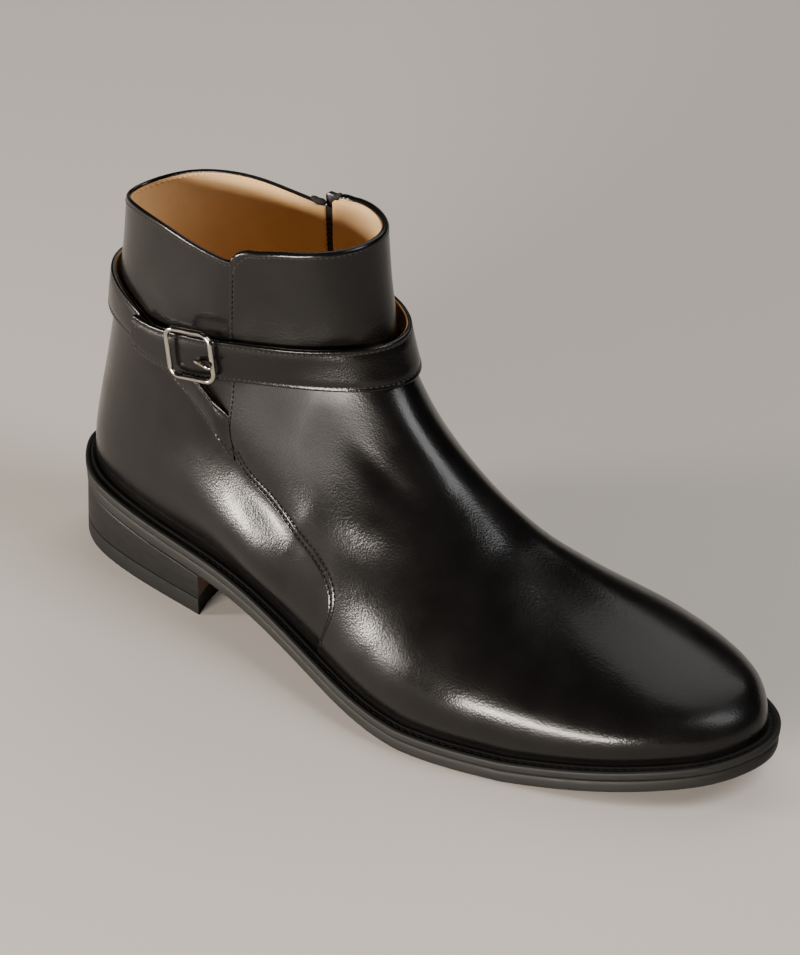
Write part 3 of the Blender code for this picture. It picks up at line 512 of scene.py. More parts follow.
def tube_faces(count, sides, closed):
    """Quads round a bar of rings, with its ends capped unless it is closed."""
    faces = []
    for i in range(count if closed else count - 1):
        j = (i + 1) % count
        for k in range(sides):
            m = (k + 1) % sides
            faces.append([i * sides + k, i * sides + m, j * sides + m, j * sides + k])
    if not closed:
        faces.append(list(range(sides))[::-1])
        faces.append([(count - 1) * sides + k for k in range(sides)])
    return faces


def add_part(points, faces, ring, count, sides):
    """Points and faces of a piece with one more bar or plate of rings."""
    more = [[k + len(points) for k in face] for face in tube_faces(count, sides, False)]
    return np.vstack([points, ring]), faces + more


def bar_points(path, radii, up, sides, closed=False):
    """Rings of points round a path."""
    path = np.asarray(path, float)
    ahead = np.roll(path, -1, 0) - np.roll(path, 1, 0)
    if not closed:
        ahead[0] = path[1] - path[0]
        ahead[-1] = path[-1] - path[-2]
    ahead = unit(ahead)
    side = unit(np.cross(np.asarray(up, float), ahead))
    lift = np.cross(ahead, side)
    turn = 2.0 * math.pi * (np.arange(sides) + 0.5) / sides
    ring = side[:, None] * np.cos(turn)[None, :, None] + lift[:, None] * np.sin(turn)[None, :, None]
    return (path[:, None] + ring * np.asarray(radii)[:, None, None]).reshape(-1, 3)


# Materials
def linear(colour):
    """Linear red, green and blue of an sRGB hex colour."""
    parts = [int(colour[i:i + 2], 16) / 255.0 for i in (1, 3, 5)]
    return tuple(p / 12.92 if p <= 0.04045 else ((p + 0.055) / 1.055) ** 2.4 for p in parts) + (1.0,)


def node(tree, kind, inputs=(), **settings):
    """Node with its settings, its inputs set to values or linked to sockets."""
    made = tree.nodes.new(kind)
    for key, value in settings.items():
        setattr(made, key, value)
    for key, value in dict(inputs).items():
        if isinstance(value, bpy.types.NodeSocket):
            tree.links.new(value, made.inputs[key])
        else:
            made.inputs[key].default_value = value
    return made


def new_look(name, colour, rough, **sockets):
    """Material with its tree, shader and Object coordinates."""
    look = bpy.data.materials.new(name)
    look.use_nodes = True
    tree = look.node_tree
    shader = tree.nodes["Principled BSDF"]
    shader.inputs["Base Color"].default_value = linear(colour)
    shader.inputs["Roughness"].default_value = rough
    for key, value in sockets.items():
        shader.inputs[key.replace("_", " ")].default_value = value
    look.diffuse_color = linear(colour)
    place = node(tree, "ShaderNodeTexCoord").outputs["Object"]
    return look, tree, shader, place


def per_mm(size):
    """Texture scale for a pattern of that size in millimetres, on coordinates in metres."""
    return 1.0 / (size * MM)


def noise(tree, place, size, detail=2.0):
    """Soft noise of a size in millimetres."""
    made = node(tree, "ShaderNodeTexNoise", {"Vector": place, "Scale": per_mm(size), "Detail": detail})
    return made.outputs["Fac"]


def blend(tree, share, first, second):
    """Colour between two, each a colour or a socket."""
    return node(tree, "ShaderNodeMix", {"Factor": share, 6: first, 7: second}, data_type="RGBA").outputs[2]


def relief(tree, shader, height, strength, deep, under=None):
    """Bump of a depth in millimetres on the shader, over another one if it is given."""
    inputs = {"Height": height, "Strength": strength, "Distance": deep * MM}
    if under is not None:
        inputs["Normal"] = under
    normal = node(tree, "ShaderNodeBump", inputs).outputs["Normal"]
    tree.links.new(normal, shader.inputs["Normal"])
    return normal


def mottle(tree, shader, place, size, low, high, dark, light):
    """Roughness and colour that wander over the surface at a size in millimetres."""
    cloud = noise(tree, place, size, 4.0)
    rough = node(tree, "ShaderNodeMapRange", {"Value": cloud, "From Min": 0.3, "From Max": 0.7,
                                              "To Min": low, "To Max": high}).outputs["Result"]
    tint = blend(tree, cloud, linear(dark), linear(light))
    tree.links.new(rough, shader.inputs["Roughness"])
    tree.links.new(tint, shader.inputs["Base Color"])
    return rough, tint


def calf_leather(name, grain):
    """Box calf, dyed through, waxed and brushed: deep black, soft broad gloss with a fine pore grain."""
    coat_weight = 0.12
    look, tree, shader, place = new_look(name, "#0a0909", 0.24, Coat_Weight=coat_weight, Coat_Roughness=0.14,
                                         Specular_IOR_Level=0.23)
    rough, _ = mottle(tree, shader, place, 14.0, 0.19, 0.27, "#070606", "#0d0c0c")
    # Less polished places are rougher and have lost their wax
    dull = node(tree, "ShaderNodeAttribute", attribute_name="dull").outputs["Fac"]
    rough = node(tree, "ShaderNodeMath", {0: rough, 1: dull}, operation="ADD")
    tree.links.new(rough.outputs["Value"], shader.inputs["Roughness"])
    coat = node(tree, "ShaderNodeMath", {0: dull, 1: -0.4, 2: coat_weight}, operation="MULTIPLY_ADD",
                use_clamp=True)
    tree.links.new(coat.outputs["Value"], shader.inputs["Coat Weight"])
    # Pores of about 0.4 mm, drawn at 0.7 mm so that they show
    pores = node(tree, "ShaderNodeTexVoronoi", {"Vector": place, "Scale": per_mm(0.7)})
    fine = relief(tree, shader, pores.outputs["Distance"], grain, 0.15)
    relief(tree, shader, noise(tree, place, 5.0, 3.0), 0.25, 0.25, fine)
    return look


def tan_leather(name, dark, light):
    """Vegetable-tanned lining leather, undyed: warm tan, matt, with a soft cloud of darker skin."""
    look, tree, shader, place = new_look(name, light, 0.62)
    mottle(tree, shader, place, 18.0, 0.55, 0.72, dark, light)
    relief(tree, shader, noise(tree, place, 0.9, 3.0), 0.3, 0.12)
    return look


def edge_leather(name, dark, light, low, high):
    """Trimmed sole leather, dyed, ironed and waxed: charcoal, satin, with fine marks along the edge."""
    look, tree, shader, place = new_look(name, light, 0.45, Specular_IOR_Level=0.18)
    flat = node(tree, "ShaderNodeMapping", {"Vector": place, "Scale": (1.0, 1.0, 7.0)}).outputs["Vector"]
    mottle(tree, shader, flat, 9.0, low, high, dark, light)
    relief(tree, shader, noise(tree, flat, 3.0, 4.0), 0.3, 0.15)
    return look


def stacked_leather(name):
    """Lifts of sole leather glued in a stack, sanded: reddish brown layers with darker glue lines."""
    look, tree, shader, place = new_look(name, "#5a2a14", 0.5)
    _, tint = mottle(tree, shader, place, 7.0, 0.42, 0.6, "#44200f", "#65331a")
    high = node(tree, "ShaderNodeSeparateXYZ", {"Vector": place}).outputs["Z"]
    layer = node(tree, "ShaderNodeMath", {0: high, 1: LEATHER_LIFT * MM}, operation="FLOORED_MODULO")
    line = node(tree, "ShaderNodeMapRange", {"Value": layer.outputs["Value"], "From Min": 0.0,
                                             "From Max": 0.5 * MM, "To Min": 0.25, "To Max": 1.0})
    glue = blend(tree, line.outputs["Result"], linear("#2a1209"), tint)
    tree.links.new(glue, shader.inputs["Base Color"])
    return look


def plain_rubber(name):
    """Moulded black rubber top lift: dull, a little dusty."""
    look, tree, shader, place = new_look(name, "#0a0a0a", 0.7, Specular_IOR_Level=0.2)
    mottle(tree, shader, place, 6.0, 0.6, 0.8, "#080808", "#0d0c0c")
    return look


def plated_metal(name, colour, low, high):
    """Cast metal, polished and plated: clear reflections with faint hairlines."""
    look, tree, shader, place = new_look(name, colour, low, Metallic=1.0)
    mottle(tree, shader, place, 2.0, low, high, colour, colour)
    return look


def woven_tape(name):
    """Polyester zip tape, woven in a fine rib: black and matt."""
    look, tree, shader, place = new_look(name, "#111011", 0.85)
    ribs = node(tree, "ShaderNodeTexWave", {"Vector": place, "Scale": per_mm(1.1) / 6.283},
                bands_direction="Z")
    relief(tree, shader, ribs.outputs["Fac"], 0.6, 0.2)
    return look


def waxed_thread(name, colour):
    """Twisted and waxed polyester thread: dull, with the twist as a fine relief."""
    look, tree, shader, place = new_look(name, colour, 0.7, Specular_IOR_Level=0.12)
    relief(tree, shader, noise(tree, place, 0.5), 0.4, 0.1)
    return look


CALF = calf_leather("box_calf_black", 0.28)
STRAP_CALF = calf_leather("strap_calf_black", 0.34)
LINING_TAN = tan_leather("lining_leather_tan", "#d6a66c", "#f0cb96")
SOCK_TAN = tan_leather("sock_leather_tan", "#a06f3e", "#c4925a")
STRAP_BACK = tan_leather("strap_lining_brown", "#a8703e", "#d09a62")
SOLE_EDGE = edge_leather("sole_leather_charcoal", "#131312", "#201f1e", 0.50, 0.66)
WELT_EDGE = edge_leather("welt_leather_charcoal", "#141413", "#232221", 0.50, 0.64)
# Near-black leather: painted shade on the welt's top under the upper, over the welt's own black, and painted
# shade in the strap's hole
BLACK_PAINTED_SHADE = edge_leather("welt_leather_black", "#070707", "#0d0d0c", 0.55, 0.7)
HEEL_SIDE = edge_leather("heel_leather_charcoal", "#090908", "#100f0f", 0.44, 0.60)
STACK = stacked_leather("stacked_leather_brown")
RUBBER = plain_rubber("top_lift_rubber")
NICKEL = plated_metal("nickel_plate", "#aaa49a", 0.08, 0.18)
ZIP_METAL = plated_metal("black_nickel", "#3a3a3c", 0.28, 0.42)
TAPE = woven_tape("zip_tape_woven")
THREAD = waxed_thread("thread_black", "#060606")
THREAD_GREY = waxed_thread("thread_grey", "#2c2926")
THREAD_TAN = waxed_thread("thread_tan", "#e6c690")


# Upper
def row_lines(bases, side, samples=181):
    """Rows of close points from base to crest, and the running length of each."""
    base, climb = np.meshgrid(bases, np.linspace(0.0, 2.0, samples), indexing="ij")
    points = upper_side(base, climb, side)
    step = np.linalg.norm(np.diff(points, axis=1), axis=2)
    return points, np.concatenate([np.zeros((len(bases), 1)), np.cumsum(step, 1)], 1)


def seam_cut(points, arc):
    """Length along each row to the seam, 0 where the row starts in front of it."""
    gap = points[:, :, 0] - seam_x(points[:, :, 2])
    cut = np.zeros(len(points))
    for r, k in enumerate((gap > 0.0).argmax(1)):
        if k > 0:
            share = gap[r, k - 1] / (gap[r, k - 1] - gap[r, k])
            cut[r] = arc[r, k - 1] + (arc[r, k] - arc[r, k - 1]) * share
    return cut


def along_rows(points, arc, lengths):
    """Points of each row at lengths along it."""
    out = np.zeros(lengths.shape + (3,))
    for r in range(len(points)):
        for k in range(3):
            out[r, :, k] = np.interp(lengths[r], arc[r], points[r, :, k])
    return out


def rows_from(low, below, above):
    """Rows from one on the sole's edge to the heel's back, then up to the collar's rim."""
    return np.concatenate([np.linspace(low, 1.0, below), np.linspace(1.0, 2.0 - RIM_SHARE, above)[1:]])


def near_collar(base):
    """Share of the collar's own lift at a row: 1 on its edge, 0 a little below it."""
    return ramp(COLLAR_FROM, 2.0, base)


def front_lift(x):
    """Front panel's own collar edge over the common one: its rear corner is rounded."""
    share = np.clip((x - ZIP_ALONG) / CORNER_ROUND, 0.0, 1.0)
    corner = CORNER_DROP * (np.sqrt(1.0 - (1.0 - share) ** 2) - 1.0)
    return np.where(x < CORNER_END, corner - collar_lift(x), 0.0)


def rear_lift(x):
    """Rear quarter's collar edge stays low under the front panel."""
    low = float(collar_lift(ZIP_ALONG)) - collar_lift(x) - ramp(0.0, 3.0, x - ZIP_ALONG)
    return np.where(x > ZIP_ALONG, low, 0.0)


CREASE_STEPS = 12


def crease_height(points):
    """Height of the creases at points of the upper: soft troughs with lips, and soft ridges."""
    height = np.zeros(points.shape[:-1])
    for first, middle, last, wide, deep, lip in CREASES:
        line = spline([0.0, 0.5, 1.0], [first, middle, last])
        path = line(np.linspace(0.0, 1.0, CREASE_STEPS + 1))
        gap = np.full(points.shape[:-1], 1e9)
        share = np.zeros(points.shape[:-1])
        for k in range(CREASE_STEPS):
            step = path[k + 1] - path[k]
            part = np.clip((points - path[k]) @ step / (step @ step), 0.0, 1.0)
            d = np.linalg.norm(points - path[k] - part[..., None] * step, axis=-1)
            share = np.where(d < gap, (k + part) / CREASE_STEPS, share)
            gap = np.minimum(gap, d)
        form = np.exp(-(gap / wide) ** 2) - lip * np.exp(-((gap - 2.0 * wide) / wide) ** 2)
        height += deep * taper(share) ** 0.8 * form
    return height


RIM_SHARE = RIM_DROP / BACK_LONG
FRONT_ROWS = np.unique(np.concatenate([
    np.linspace(0.0, 0.03, 9), np.linspace(0.03, 0.42, 96), np.linspace(0.42, 0.56, 70),
    np.linspace(0.56, 1.0, 80), np.linspace(1.0, 2.0 - RIM_SHARE, 84)]).round(6))
EDGE_STEPS = np.array([
    0.0, 0.08, 0.2, 0.36, 0.6, 0.9, 1.2, 1.45, 1.7, 1.95, 2.3, 2.8, 3.4, 3.75, 4.0, 4.25, 4.7, 5.4])
FRONT_EVEN = 56


def spread(start, end):
    """Lengths from an edge to an end: close steps beside the edge, then even ones."""
    room = (end - start)[:, None]
    count = len(EDGE_STEPS)
    near = np.minimum(EDGE_STEPS[None], room * np.linspace(0.0, 0.4, count)[None])
    far = near[:, -1:] + (room - near[:, -1:]) * np.linspace(0.0, 1.0, FRONT_EVEN + 1)[None, 1:]
    return start[:, None] + np.concatenate([near, far], 1)


def panel_height(from_edge, sewn, double):
    """Height of the front panel: rounded at its sewn edge, drawn in along the rows of stitches."""
    share = np.clip(from_edge / PANEL_ROUND, 0.0, 1.0)
    edge = (PANEL_STEP + PANEL_TUCK) * np.sqrt(1.0 - (1.0 - share) ** 2) - PANEL_TUCK
    edge = edge - ROW_DEEP * np.exp(-((from_edge - ROW_NEAR) / ROW_SOFT) ** 2)
    edge = edge - ROW_DEEP * double * np.exp(-((from_edge - ROW_FAR) / ROW_SOFT) ** 2)
    return sewn * edge + (1.0 - sewn) * PANEL_STEP


def rim_rows(last, before, normal, height, deep=RIM_IN, steps=9):
    """Rows over the collar's edge from the outside to the lining."""
    up = unit(last - before)
    middle = ((height - deep) / 2.0)[:, None]
    radius = ((height + deep) / 2.0)[:, None]
    turns = np.linspace(0.0, math.pi, steps)[1:]
    return np.stack([last + normal * (middle + radius * math.cos(t)) + up * radius * math.sin(t)
                     for t in turns])


FRONT = {}
for side in (-1.0, 1.0):
    lines, arc = row_lines(FRONT_ROWS, side)
    cut = seam_cut(lines, arc)
    lengths = spread(cut, arc[:, -1])
    FRONT[side] = {"lines": lines, "arc": arc, "cut": cut, "lengths": lengths,
                   "points": along_rows(lines, arc, lengths), "edge": lengths - cut[:, None],
                   "sewn": np.repeat(ramp(0.0, 4.0, cut)[:, None], lengths.shape[1], 1)}


def both_sides(key):
    """Outer side from its edge to the crest, then the inner side back to its edge."""
    return np.concatenate([FRONT[-1.0][key], FRONT[1.0][key][:, -2::-1]], 1)


def build_front_panel():
    """Vamp and front of the shaft in one piece of calf, lying over the rear quarter."""
    points = both_sides("points")
    points[..., 2] += front_lift(points[..., 0]) * near_collar(FRONT_ROWS)[:, None]
    normal = grid_normals(points)
    normal[0] = unit(normal[1].mean(0))
    low = (points[..., 2] < DOUBLE_BELOW).astype(float)
    height = panel_height(both_sides("edge"), both_sides("sewn"), low)
    shown = points + normal * (height + crease_height(points))[..., None]
    foot = (1.0 - both_sides("sewn")) * (FRONT_ROWS[:, None] < 1.0)
    for c in (0, -1):
        shown[:, c, 2] -= FOOT_TUCK * foot[:, c]
    shown = np.concatenate([shown, rim_rows(points[-1], points[-4], normal[-1], height[-1])])
    panel = new_piece("front_panel", shown, grid_faces(*shown.shape[:2]), [CALF],
                      stands_for=("upper",), closed=False)
    return panel, points, normal


def dull_leather(item):
    """Writes at each point of a piece how much rougher its leather is there."""
    spots = np.array([v.co for v in item.data.vertices]) / MM - SHIFT
    dull = np.zeros(len(spots), np.float32)
    for middle, reach, much in DULL:
        gap = np.linalg.norm(spots - middle, axis=1)
        dull = np.maximum(dull, (much * np.exp(-(gap / reach) ** 2)).astype(np.float32))
    item.data.attributes.new("dull", "FLOAT", "POINT").data.foreach_set("value", dull)


def inner_faces(work, x_low, x_high, z_low):
    """Faces of the inner side whose middle lies between two places along and above a height."""
    found = []
    for face in work.faces:
        middle = face.calc_center_median()
        if x_low < middle.x < x_high and middle.y > INNER_SIDE and middle.z > z_low:
            found.append(face)
    return found


def cut_slot(item, wide):
    """Opens the zip's slot in a piece of the upper and turns its cut edges inwards."""
    work = bmesh.new()
    work.from_mesh(item.data)
    x_low, x_high = ((ZIP_ALONG + s * wide / 2.0 + SHIFT[0]) * MM for s in (-1.0, 1.0))
    z_low = ZIP_LOW * MM
    for spot, way in (((x_low, 0, 0), (1, 0, 0)), ((x_high, 0, 0), (1, 0, 0)), ((0, 0, z_low), (0, 0, 1))):
        near = inner_faces(work, x_low - 0.012, x_low + 0.012, z_low - 0.004)
        parts = near + list(dict.fromkeys(e for f in near for e in f.edges))
        parts += list(dict.fromkeys(v for f in near for v in f.verts))
        bmesh.ops.bisect_plane(work, geom=parts, plane_co=spot, plane_no=way, dist=1e-6)
    bmesh.ops.delete(work, geom=inner_faces(work, x_low, x_high, z_low), context="FACES")
    work.normal_update()
    x_low, x_high, z_low = x_low - 1e-6, x_high + 1e-6, z_low - 1e-6
    rim = [e for e in work.edges if len(e.link_faces) == 1 and all(
        x_low <= v.co.x <= x_high and v.co.z >= z_low and v.co.y > INNER_SIDE for v in e.verts)]
    ways = {v: v.normal.copy() for e in rim for v in e.verts}
    grown = bmesh.ops.extrude_edge_only(work, edges=rim)["geom"]
    for v in [g for g in grown if isinstance(g, bmesh.types.BMVert)]:
        nearest = min(ways, key=lambda w: (w.co - v.co).length)
        v.co -= ways[nearest] * SLOT_TURN_IN * MM
    work.to_mesh(item.data)
    work.free()


def quarter_side(bases, side):
    """One side of the rear quarter as a grid, its front edge under the front panel."""
    lines, arc = row_lines(bases, side)
    cut = seam_cut(lines, arc)
    keep = cut > 0.2
    rows = bases[keep]
    reach = np.minimum(cut + QUARTER_UNDER * ramp(0.0, UNDER_GROWS, cut), arc[:, -1])[keep]
    grid = along_rows(lines[keep], arc[keep], reach[:, None] * np.linspace(0.0, 1.0, 60)[None])
    grid[..., 2] += rear_lift(grid[..., 0]) * near_collar(rows)[:, None]
    normal = grid_normals(grid)
    normal *= np.sign((normal[..., 1:2] * side).sum())
    normal[rows > 1.0, 0, 1] = 0.0
    normal = unit(normal)
    shown = grid + normal * crease_height(grid)[..., None]
    shown[rows < 1.0, 0, 2] -= FOOT_TUCK
    height = np.zeros(grid.shape[1])
    deep = RIM_IN * (1.0 - QUARTER_THIN * ramp(0.0, 1.5, grid[-1, :, 0] - ZIP_ALONG))
    return np.concatenate([shown, rim_rows(grid[-1], grid[-4], normal[-1], height, deep)])


def build_rear_quarter():
    """Rear quarter of calf round the heel, from the sole to the collar."""
    bases = rows_from(0.40, 130, 84)
    outer, inner = (quarter_side(bases, side) for side in (-1.0, 1.0))
    points = np.vstack([outer.reshape(-1, 3), inner.reshape(-1, 3)])
    faces = grid_faces(*outer.shape[:2])
    faces += [q[::-1] for q in grid_faces(*inner.shape[:2], outer.shape[0] * outer.shape[1])]
    return new_piece("rear_quarter", points, faces, [CALF],
                     stands_for=("upper",), closed=False)


def build_lining():
    """Tan lining inside the upper, from the insole to just under the collar's edge."""
    bases = rows_from(0.10, 80, 50)
    sides = []
    for side in (-1.0, 1.0):
        lines, arc = row_lines(bases, side)
        sides.append(along_rows(lines, arc, arc[:, -1:] * np.linspace(0.0, 1.0, 40)[None]))
    grid = np.concatenate([sides[0], sides[1][:, -2::-1]], 1)
    lift = np.where(grid[..., 0] > ZIP_ALONG, front_lift(grid[..., 0]), 0.0)
    grid[..., 2] += lift * near_collar(bases)[:, None]
    normal = grid_normals(grid)
    back = bases > 1.0
    for c in (0, -1):
        normal[back, c] = unit(normal[back, 0] + normal[back, -1])
    deep = RIM_IN - LINING_OVER_RIM + (LINING_DEEP - RIM_IN) * ramp(2.0, 1.7, bases)
    shown = grid - normal * (deep[:, None] - crease_height(grid))[..., None]
    quads = [q[::-1] for q in grid_faces(*grid.shape[:2])]
    return new_piece("lining", shown, quads, [LINING_TAN],
                     stands_for=("upper",), closed=False)


front_panel, FRONT_POINTS, FRONT_NORMAL = build_front_panel()
rear_quarter = build_rear_quarter()
lining = build_lining()
for item, wide in ((front_panel, ZIP_SLOT), (rear_quarter, ZIP_SLOT), (lining, LINING_SLOT)):
    cut_slot(item, wide)
dull_leather(front_panel)
dull_leather(rear_quarter)


# Level lines of the shaft, for the strap and the zip
def level_lines():
    """Distance of the upper from the ankle's middle by height and turn."""
    bases = np.concatenate([np.linspace(0.3, 1.0, 120), np.linspace(1.004, 2.0, 120)])
    base, climb = np.meshgrid(bases, np.linspace(0.0, 2.0, 61), indexing="ij")
    outer, inner = (upper_side(base, climb, side) for side in (-1.0, 1.0))
    grid = np.concatenate([outer, inner[:, -2:0:-1]], 1)
    heights = np.arange(48.0, 150.0, 1.0)
    turns = np.arange(-180.0, 181.0, 1.0)
    far = np.zeros((len(heights), len(turns)))
    for i, high in enumerate(heights):
        spots = []
        for c in range(grid.shape[1]):
            z = np.maximum.accumulate(grid[:, c, 2])
            spots.append([np.interp(high, z, grid[:, c, k]) for k in (0, 1)])
        spots = np.array(spots) - (ANKLE, 0.0)
        turn = np.degrees(np.arctan2(spots[:, 1], spots[:, 0]))
        reach = np.hypot(spots[:, 1], spots[:, 0])
        order = np.argsort(turn)
        turn, reach = turn[order], reach[order]
        far[i] = np.interp(turns, np.concatenate([turn[-3:] - 360.0, turn, turn[:3] + 360.0]),
                           np.concatenate([reach[-3:], reach, reach[:3]]))
    return heights, far


LEVELS, FAR = level_lines()


def ring_spot(turn, high):
    """Points of the upper at turns about the ankle and heights."""
    turn, high = np.broadcast_arrays(np.asarray(turn, float), np.asarray(high, float))
    place = (turn + 180.0) % 360.0
    t = np.clip(np.floor(place).astype(int), 0, 359)
    ft = place - t
    level = np.clip(high - LEVELS[0], 0.0, len(LEVELS) - 1.001)
    k = level.astype(int)
    fz = level - k
    reach = ((FAR[k, t] * (1 - ft) + FAR[k, t + 1] * ft) * (1 - fz)
             + (FAR[k + 1, t] * (1 - ft) + FAR[k + 1, t + 1] * ft) * fz)
    angle = np.radians(turn)
    return np.stack([ANKLE + reach * np.cos(angle), reach * np.sin(angle)], -1)


def ring_off(turn, high, stand):
    """The same points moved level off the upper."""
    tangent = unit(ring_spot(np.asarray(turn) + 3.0, high) - ring_spot(np.asarray(turn) - 3.0, high))
    out = np.stack([tangent[..., 1], -tangent[..., 0]], -1)
    flat = ring_spot(turn, high) + out * np.asarray(stand)[..., None]
    return np.concatenate([flat, np.broadcast_to(np.asarray(high, float), flat.shape[:-1])[..., None]], -1)


# Strap
strap_at = {name: spline(-STRAP["turn"], STRAP[name]) for name in STRAP if name != "turn"}


def strap_point(turn, share, lift):
    """Points of the strap at turns, from its low to its high edge, lifted off its inner face."""
    turn, share, lift = np.broadcast_arrays(*(np.asarray(v, float) for v in (turn, share, lift)))
    low, high, low_off, high_off = (strap_at[n](-turn) for n in ("low", "high", "low_off", "high_off"))
    z = low + (high - low) * share
    sunk = crease_height(ring_off(turn, z, np.zeros(z.shape))) * ramp(*SEWN_DOWN, turn)
    return ring_off(turn, z, low_off + (high_off - low_off) * share + lift + sunk)


def strap_section():
    """Section of the strap: share of the width, millimetres from that edge, height over the inner face."""
    r, top = STRAP_ROUND, STRAP_THICK
    turns = np.radians(np.linspace(0.0, 90.0, 5))
    edge = [(r - r * math.cos(t), top - r + r * math.sin(t)) for t in turns]
    edge += [(STRAP_ROW - 0.5, top), (STRAP_ROW, top - 0.2), (STRAP_ROW + 0.5, top)]
    points = [(0.0, inwards, high) for inwards, high in edge]
    points += [(0.3, 0.0, top + 0.12), (0.5, 0.0, top + 0.16), (0.7, 0.0, top + 0.12)]
    points += [(1.0, -inwards, high) for inwards, high in edge[::-1]]
    points += [(1.0, 0.0, 0.5), (1.0, -0.3, 0.1), (0.7, 0.0, 0.0)]
    points += [(0.3, 0.0, 0.0), (0.0, 0.3, 0.1), (0.0, 0.0, 0.5)]
    return np.array(points)


STRAP_TURNS = np.linspace(STRAP["turn"][0], STRAP["turn"][-1], 440)


def strap_share(turn, edge_share, from_edge):
    """Share across the strap of a place given from one of its edges in millimetres."""
    wide = strap_at["high"](-turn) - strap_at["low"](-turn)
    return edge_share + from_edge / wide


def build_strap():
    """Strap from its sewn end round the ankle to its tip under the buckle, black outside and brown inside."""
    section = strap_section()
    turn = STRAP_TURNS[:, None]
    thin = 1.0 - SEWN_THIN * ramp(SEWN_FROM, STRAP["turn"][0], turn)
    share = strap_share(turn, section[None, :, 0], section[None, :, 1])
    points = strap_point(turn, share, section[None, :, 2] * thin)
    count, sides = points.shape[:2]
    faces = tube_faces(count, sides, False)
    brown = {k for k in range(sides) if section[k, 2] <= 0.5 and section[(k + 1) % sides, 2] <= 0.5}
    picks = [1 if i < (count - 1) * sides and i % sides in brown else 0 for i in range(len(faces))]
    new_piece("strap_leather", points, faces, [STRAP_CALF, STRAP_BACK],
              stands_for=("strap",), picks=picks)


build_strap()

# Buckle: its own axes lie along the strap, across it and out from it
buckle_spot = strap_point(BUCKLE_TURN, 0.5, STRAP_THICK)
axis_long = unit(strap_point(BUCKLE_TURN + 6.0, 0.5, STRAP_THICK)
                 - strap_point(BUCKLE_TURN - 6.0, 0.5, STRAP_THICK))
axis_wide = strap_point(BUCKLE_TURN, 1.0, STRAP_THICK) - strap_point(BUCKLE_TURN, 0.0, STRAP_THICK)
axis_out = unit(np.cross(axis_long, axis_wide))
axis_wide = np.cross(axis_out, axis_long)
buckle_plane = buckle_spot + axis_out * (BUCKLE_WIRE + GAP + BUCKLE_SAG) + axis_wide * BUCKLE_RAISE


def on_buckle(along, wide, out):
    """Point in the buckle's own axes."""
    return buckle_plane + axis_long * along + axis_wide * wide + axis_out * out


def build_buckle():
    """Frame of plated wire with rounded corners, and the prong that lies on its front bar."""
    half_long = BUCKLE_LONG / 2.0 - BUCKLE_WIRE
    half_wide = BUCKLE_WIDE / 2.0 - BUCKLE_WIRE
    path = []
    for quarter, (sx, sy) in enumerate(((1, 1), (-1, 1), (-1, -1), (1, -1))):
        for t in np.linspace(quarter, quarter + 1.0, 12) * math.pi / 2.0:
            path.append(on_buckle(sx * (half_long - BUCKLE_ROUND) + BUCKLE_ROUND * math.cos(t),
                                  sy * (half_wide - BUCKLE_ROUND) + BUCKLE_ROUND * math.sin(t), 0.0))
    points = bar_points(path, [BUCKLE_WIRE_SHOWN] * len(path), axis_out, ROUND_SIDES, closed=True)
    new_piece("buckle_frame_wire", points, tube_faces(len(path), ROUND_SIDES, True), [NICKEL],
              stands_for=("buckle_frame",))
    where = np.linspace(PRONG["along"][0], PRONG["along"][-1], 30)
    lift = spline(PRONG["along"], PRONG["out"])(where)
    radius = spline(PRONG["along"], PRONG["radius"])(where)
    radius[-3:] *= (0.92, 0.75, 0.4)
    path = [on_buckle(a, -BUCKLE_RAISE, o) for a, o in zip(where, lift)]
    points = bar_points(path, radius, axis_wide, ROUND_SIDES)
    new_piece("buckle_prong_wire", points, tube_faces(len(path), ROUND_SIDES, False), [NICKEL],
              stands_for=("buckle_prong",))


def build_hole():
    """Punched hole that the prong stands in: a near-black plug on the strap's face, not cut through it, its
    dark inside painted shade.
    """
    floor_out = -(BUCKLE_WIRE + GAP + BUCKLE_SAG)
    path = [on_buckle(HOLE_ALONG, -BUCKLE_RAISE, floor_out + o) for o in (-0.4, 0.0, 0.22)]
    points = bar_points(path, (HOLE_RADIUS, HOLE_RADIUS, 0.8 * HOLE_RADIUS), axis_wide, 20)
    new_piece("strap_hole_painted_shade", points, tube_faces(3, 20, False), [BLACK_PAINTED_SHADE])


build_buckle()
build_hole()


# Zip on the inner side
def inner_wall(x, z, out):
    """Point on the upper's inner side at a distance along, a height and a distance out from the surface."""
    turns = np.linspace(20.0, 160.0, 281)
    line = ring_off(turns, np.full(turns.shape, z), np.full(turns.shape, out))
    return np.array([x, np.interp(-x, -line[:, 0], line[:, 1]), z])


zip_spot = inner_wall(ZIP_ALONG, SLIDER_HIGH, 0.0)
zip_up = unit(zip_spot - inner_wall(ZIP_ALONG, SLIDER_HIGH - 12.0, 0.0))
zip_side = inner_wall(ZIP_ALONG + 3.0, SLIDER_HIGH, 0.0) - inner_wall(ZIP_ALONG - 3.0, SLIDER_HIGH, 0.0)
zip_side = unit(zip_side - zip_up * float(zip_side @ zip_up))
zip_out = np.cross(zip_up, zip_side)
PIN_OUT = SLIDER_SEAT + SLIDER_THICK + EYE_RADIUS + GAP


def on_zip(side, up, out):
    """Point in the slider's own axes."""
    return zip_spot + zip_side * side + zip_up * up + zip_out * out


def rounded(wide, low, high, corner, steps=6):
    """Outline of a rounded plate in the slider's side and up axes."""
    half = wide / 2.0
    spots = []
    for k, (sx, top) in enumerate(((1, high), (-1, high), (-1, low), (1, low))):
        sy = 1 if top == high else -1
        for t in np.linspace(k, k + 1.0, steps) * math.pi / 2.0:
            spots.append((sx * (half - corner) + corner * math.cos(t),
                          top - sy * corner + corner * math.sin(t)))
    return np.array(spots)


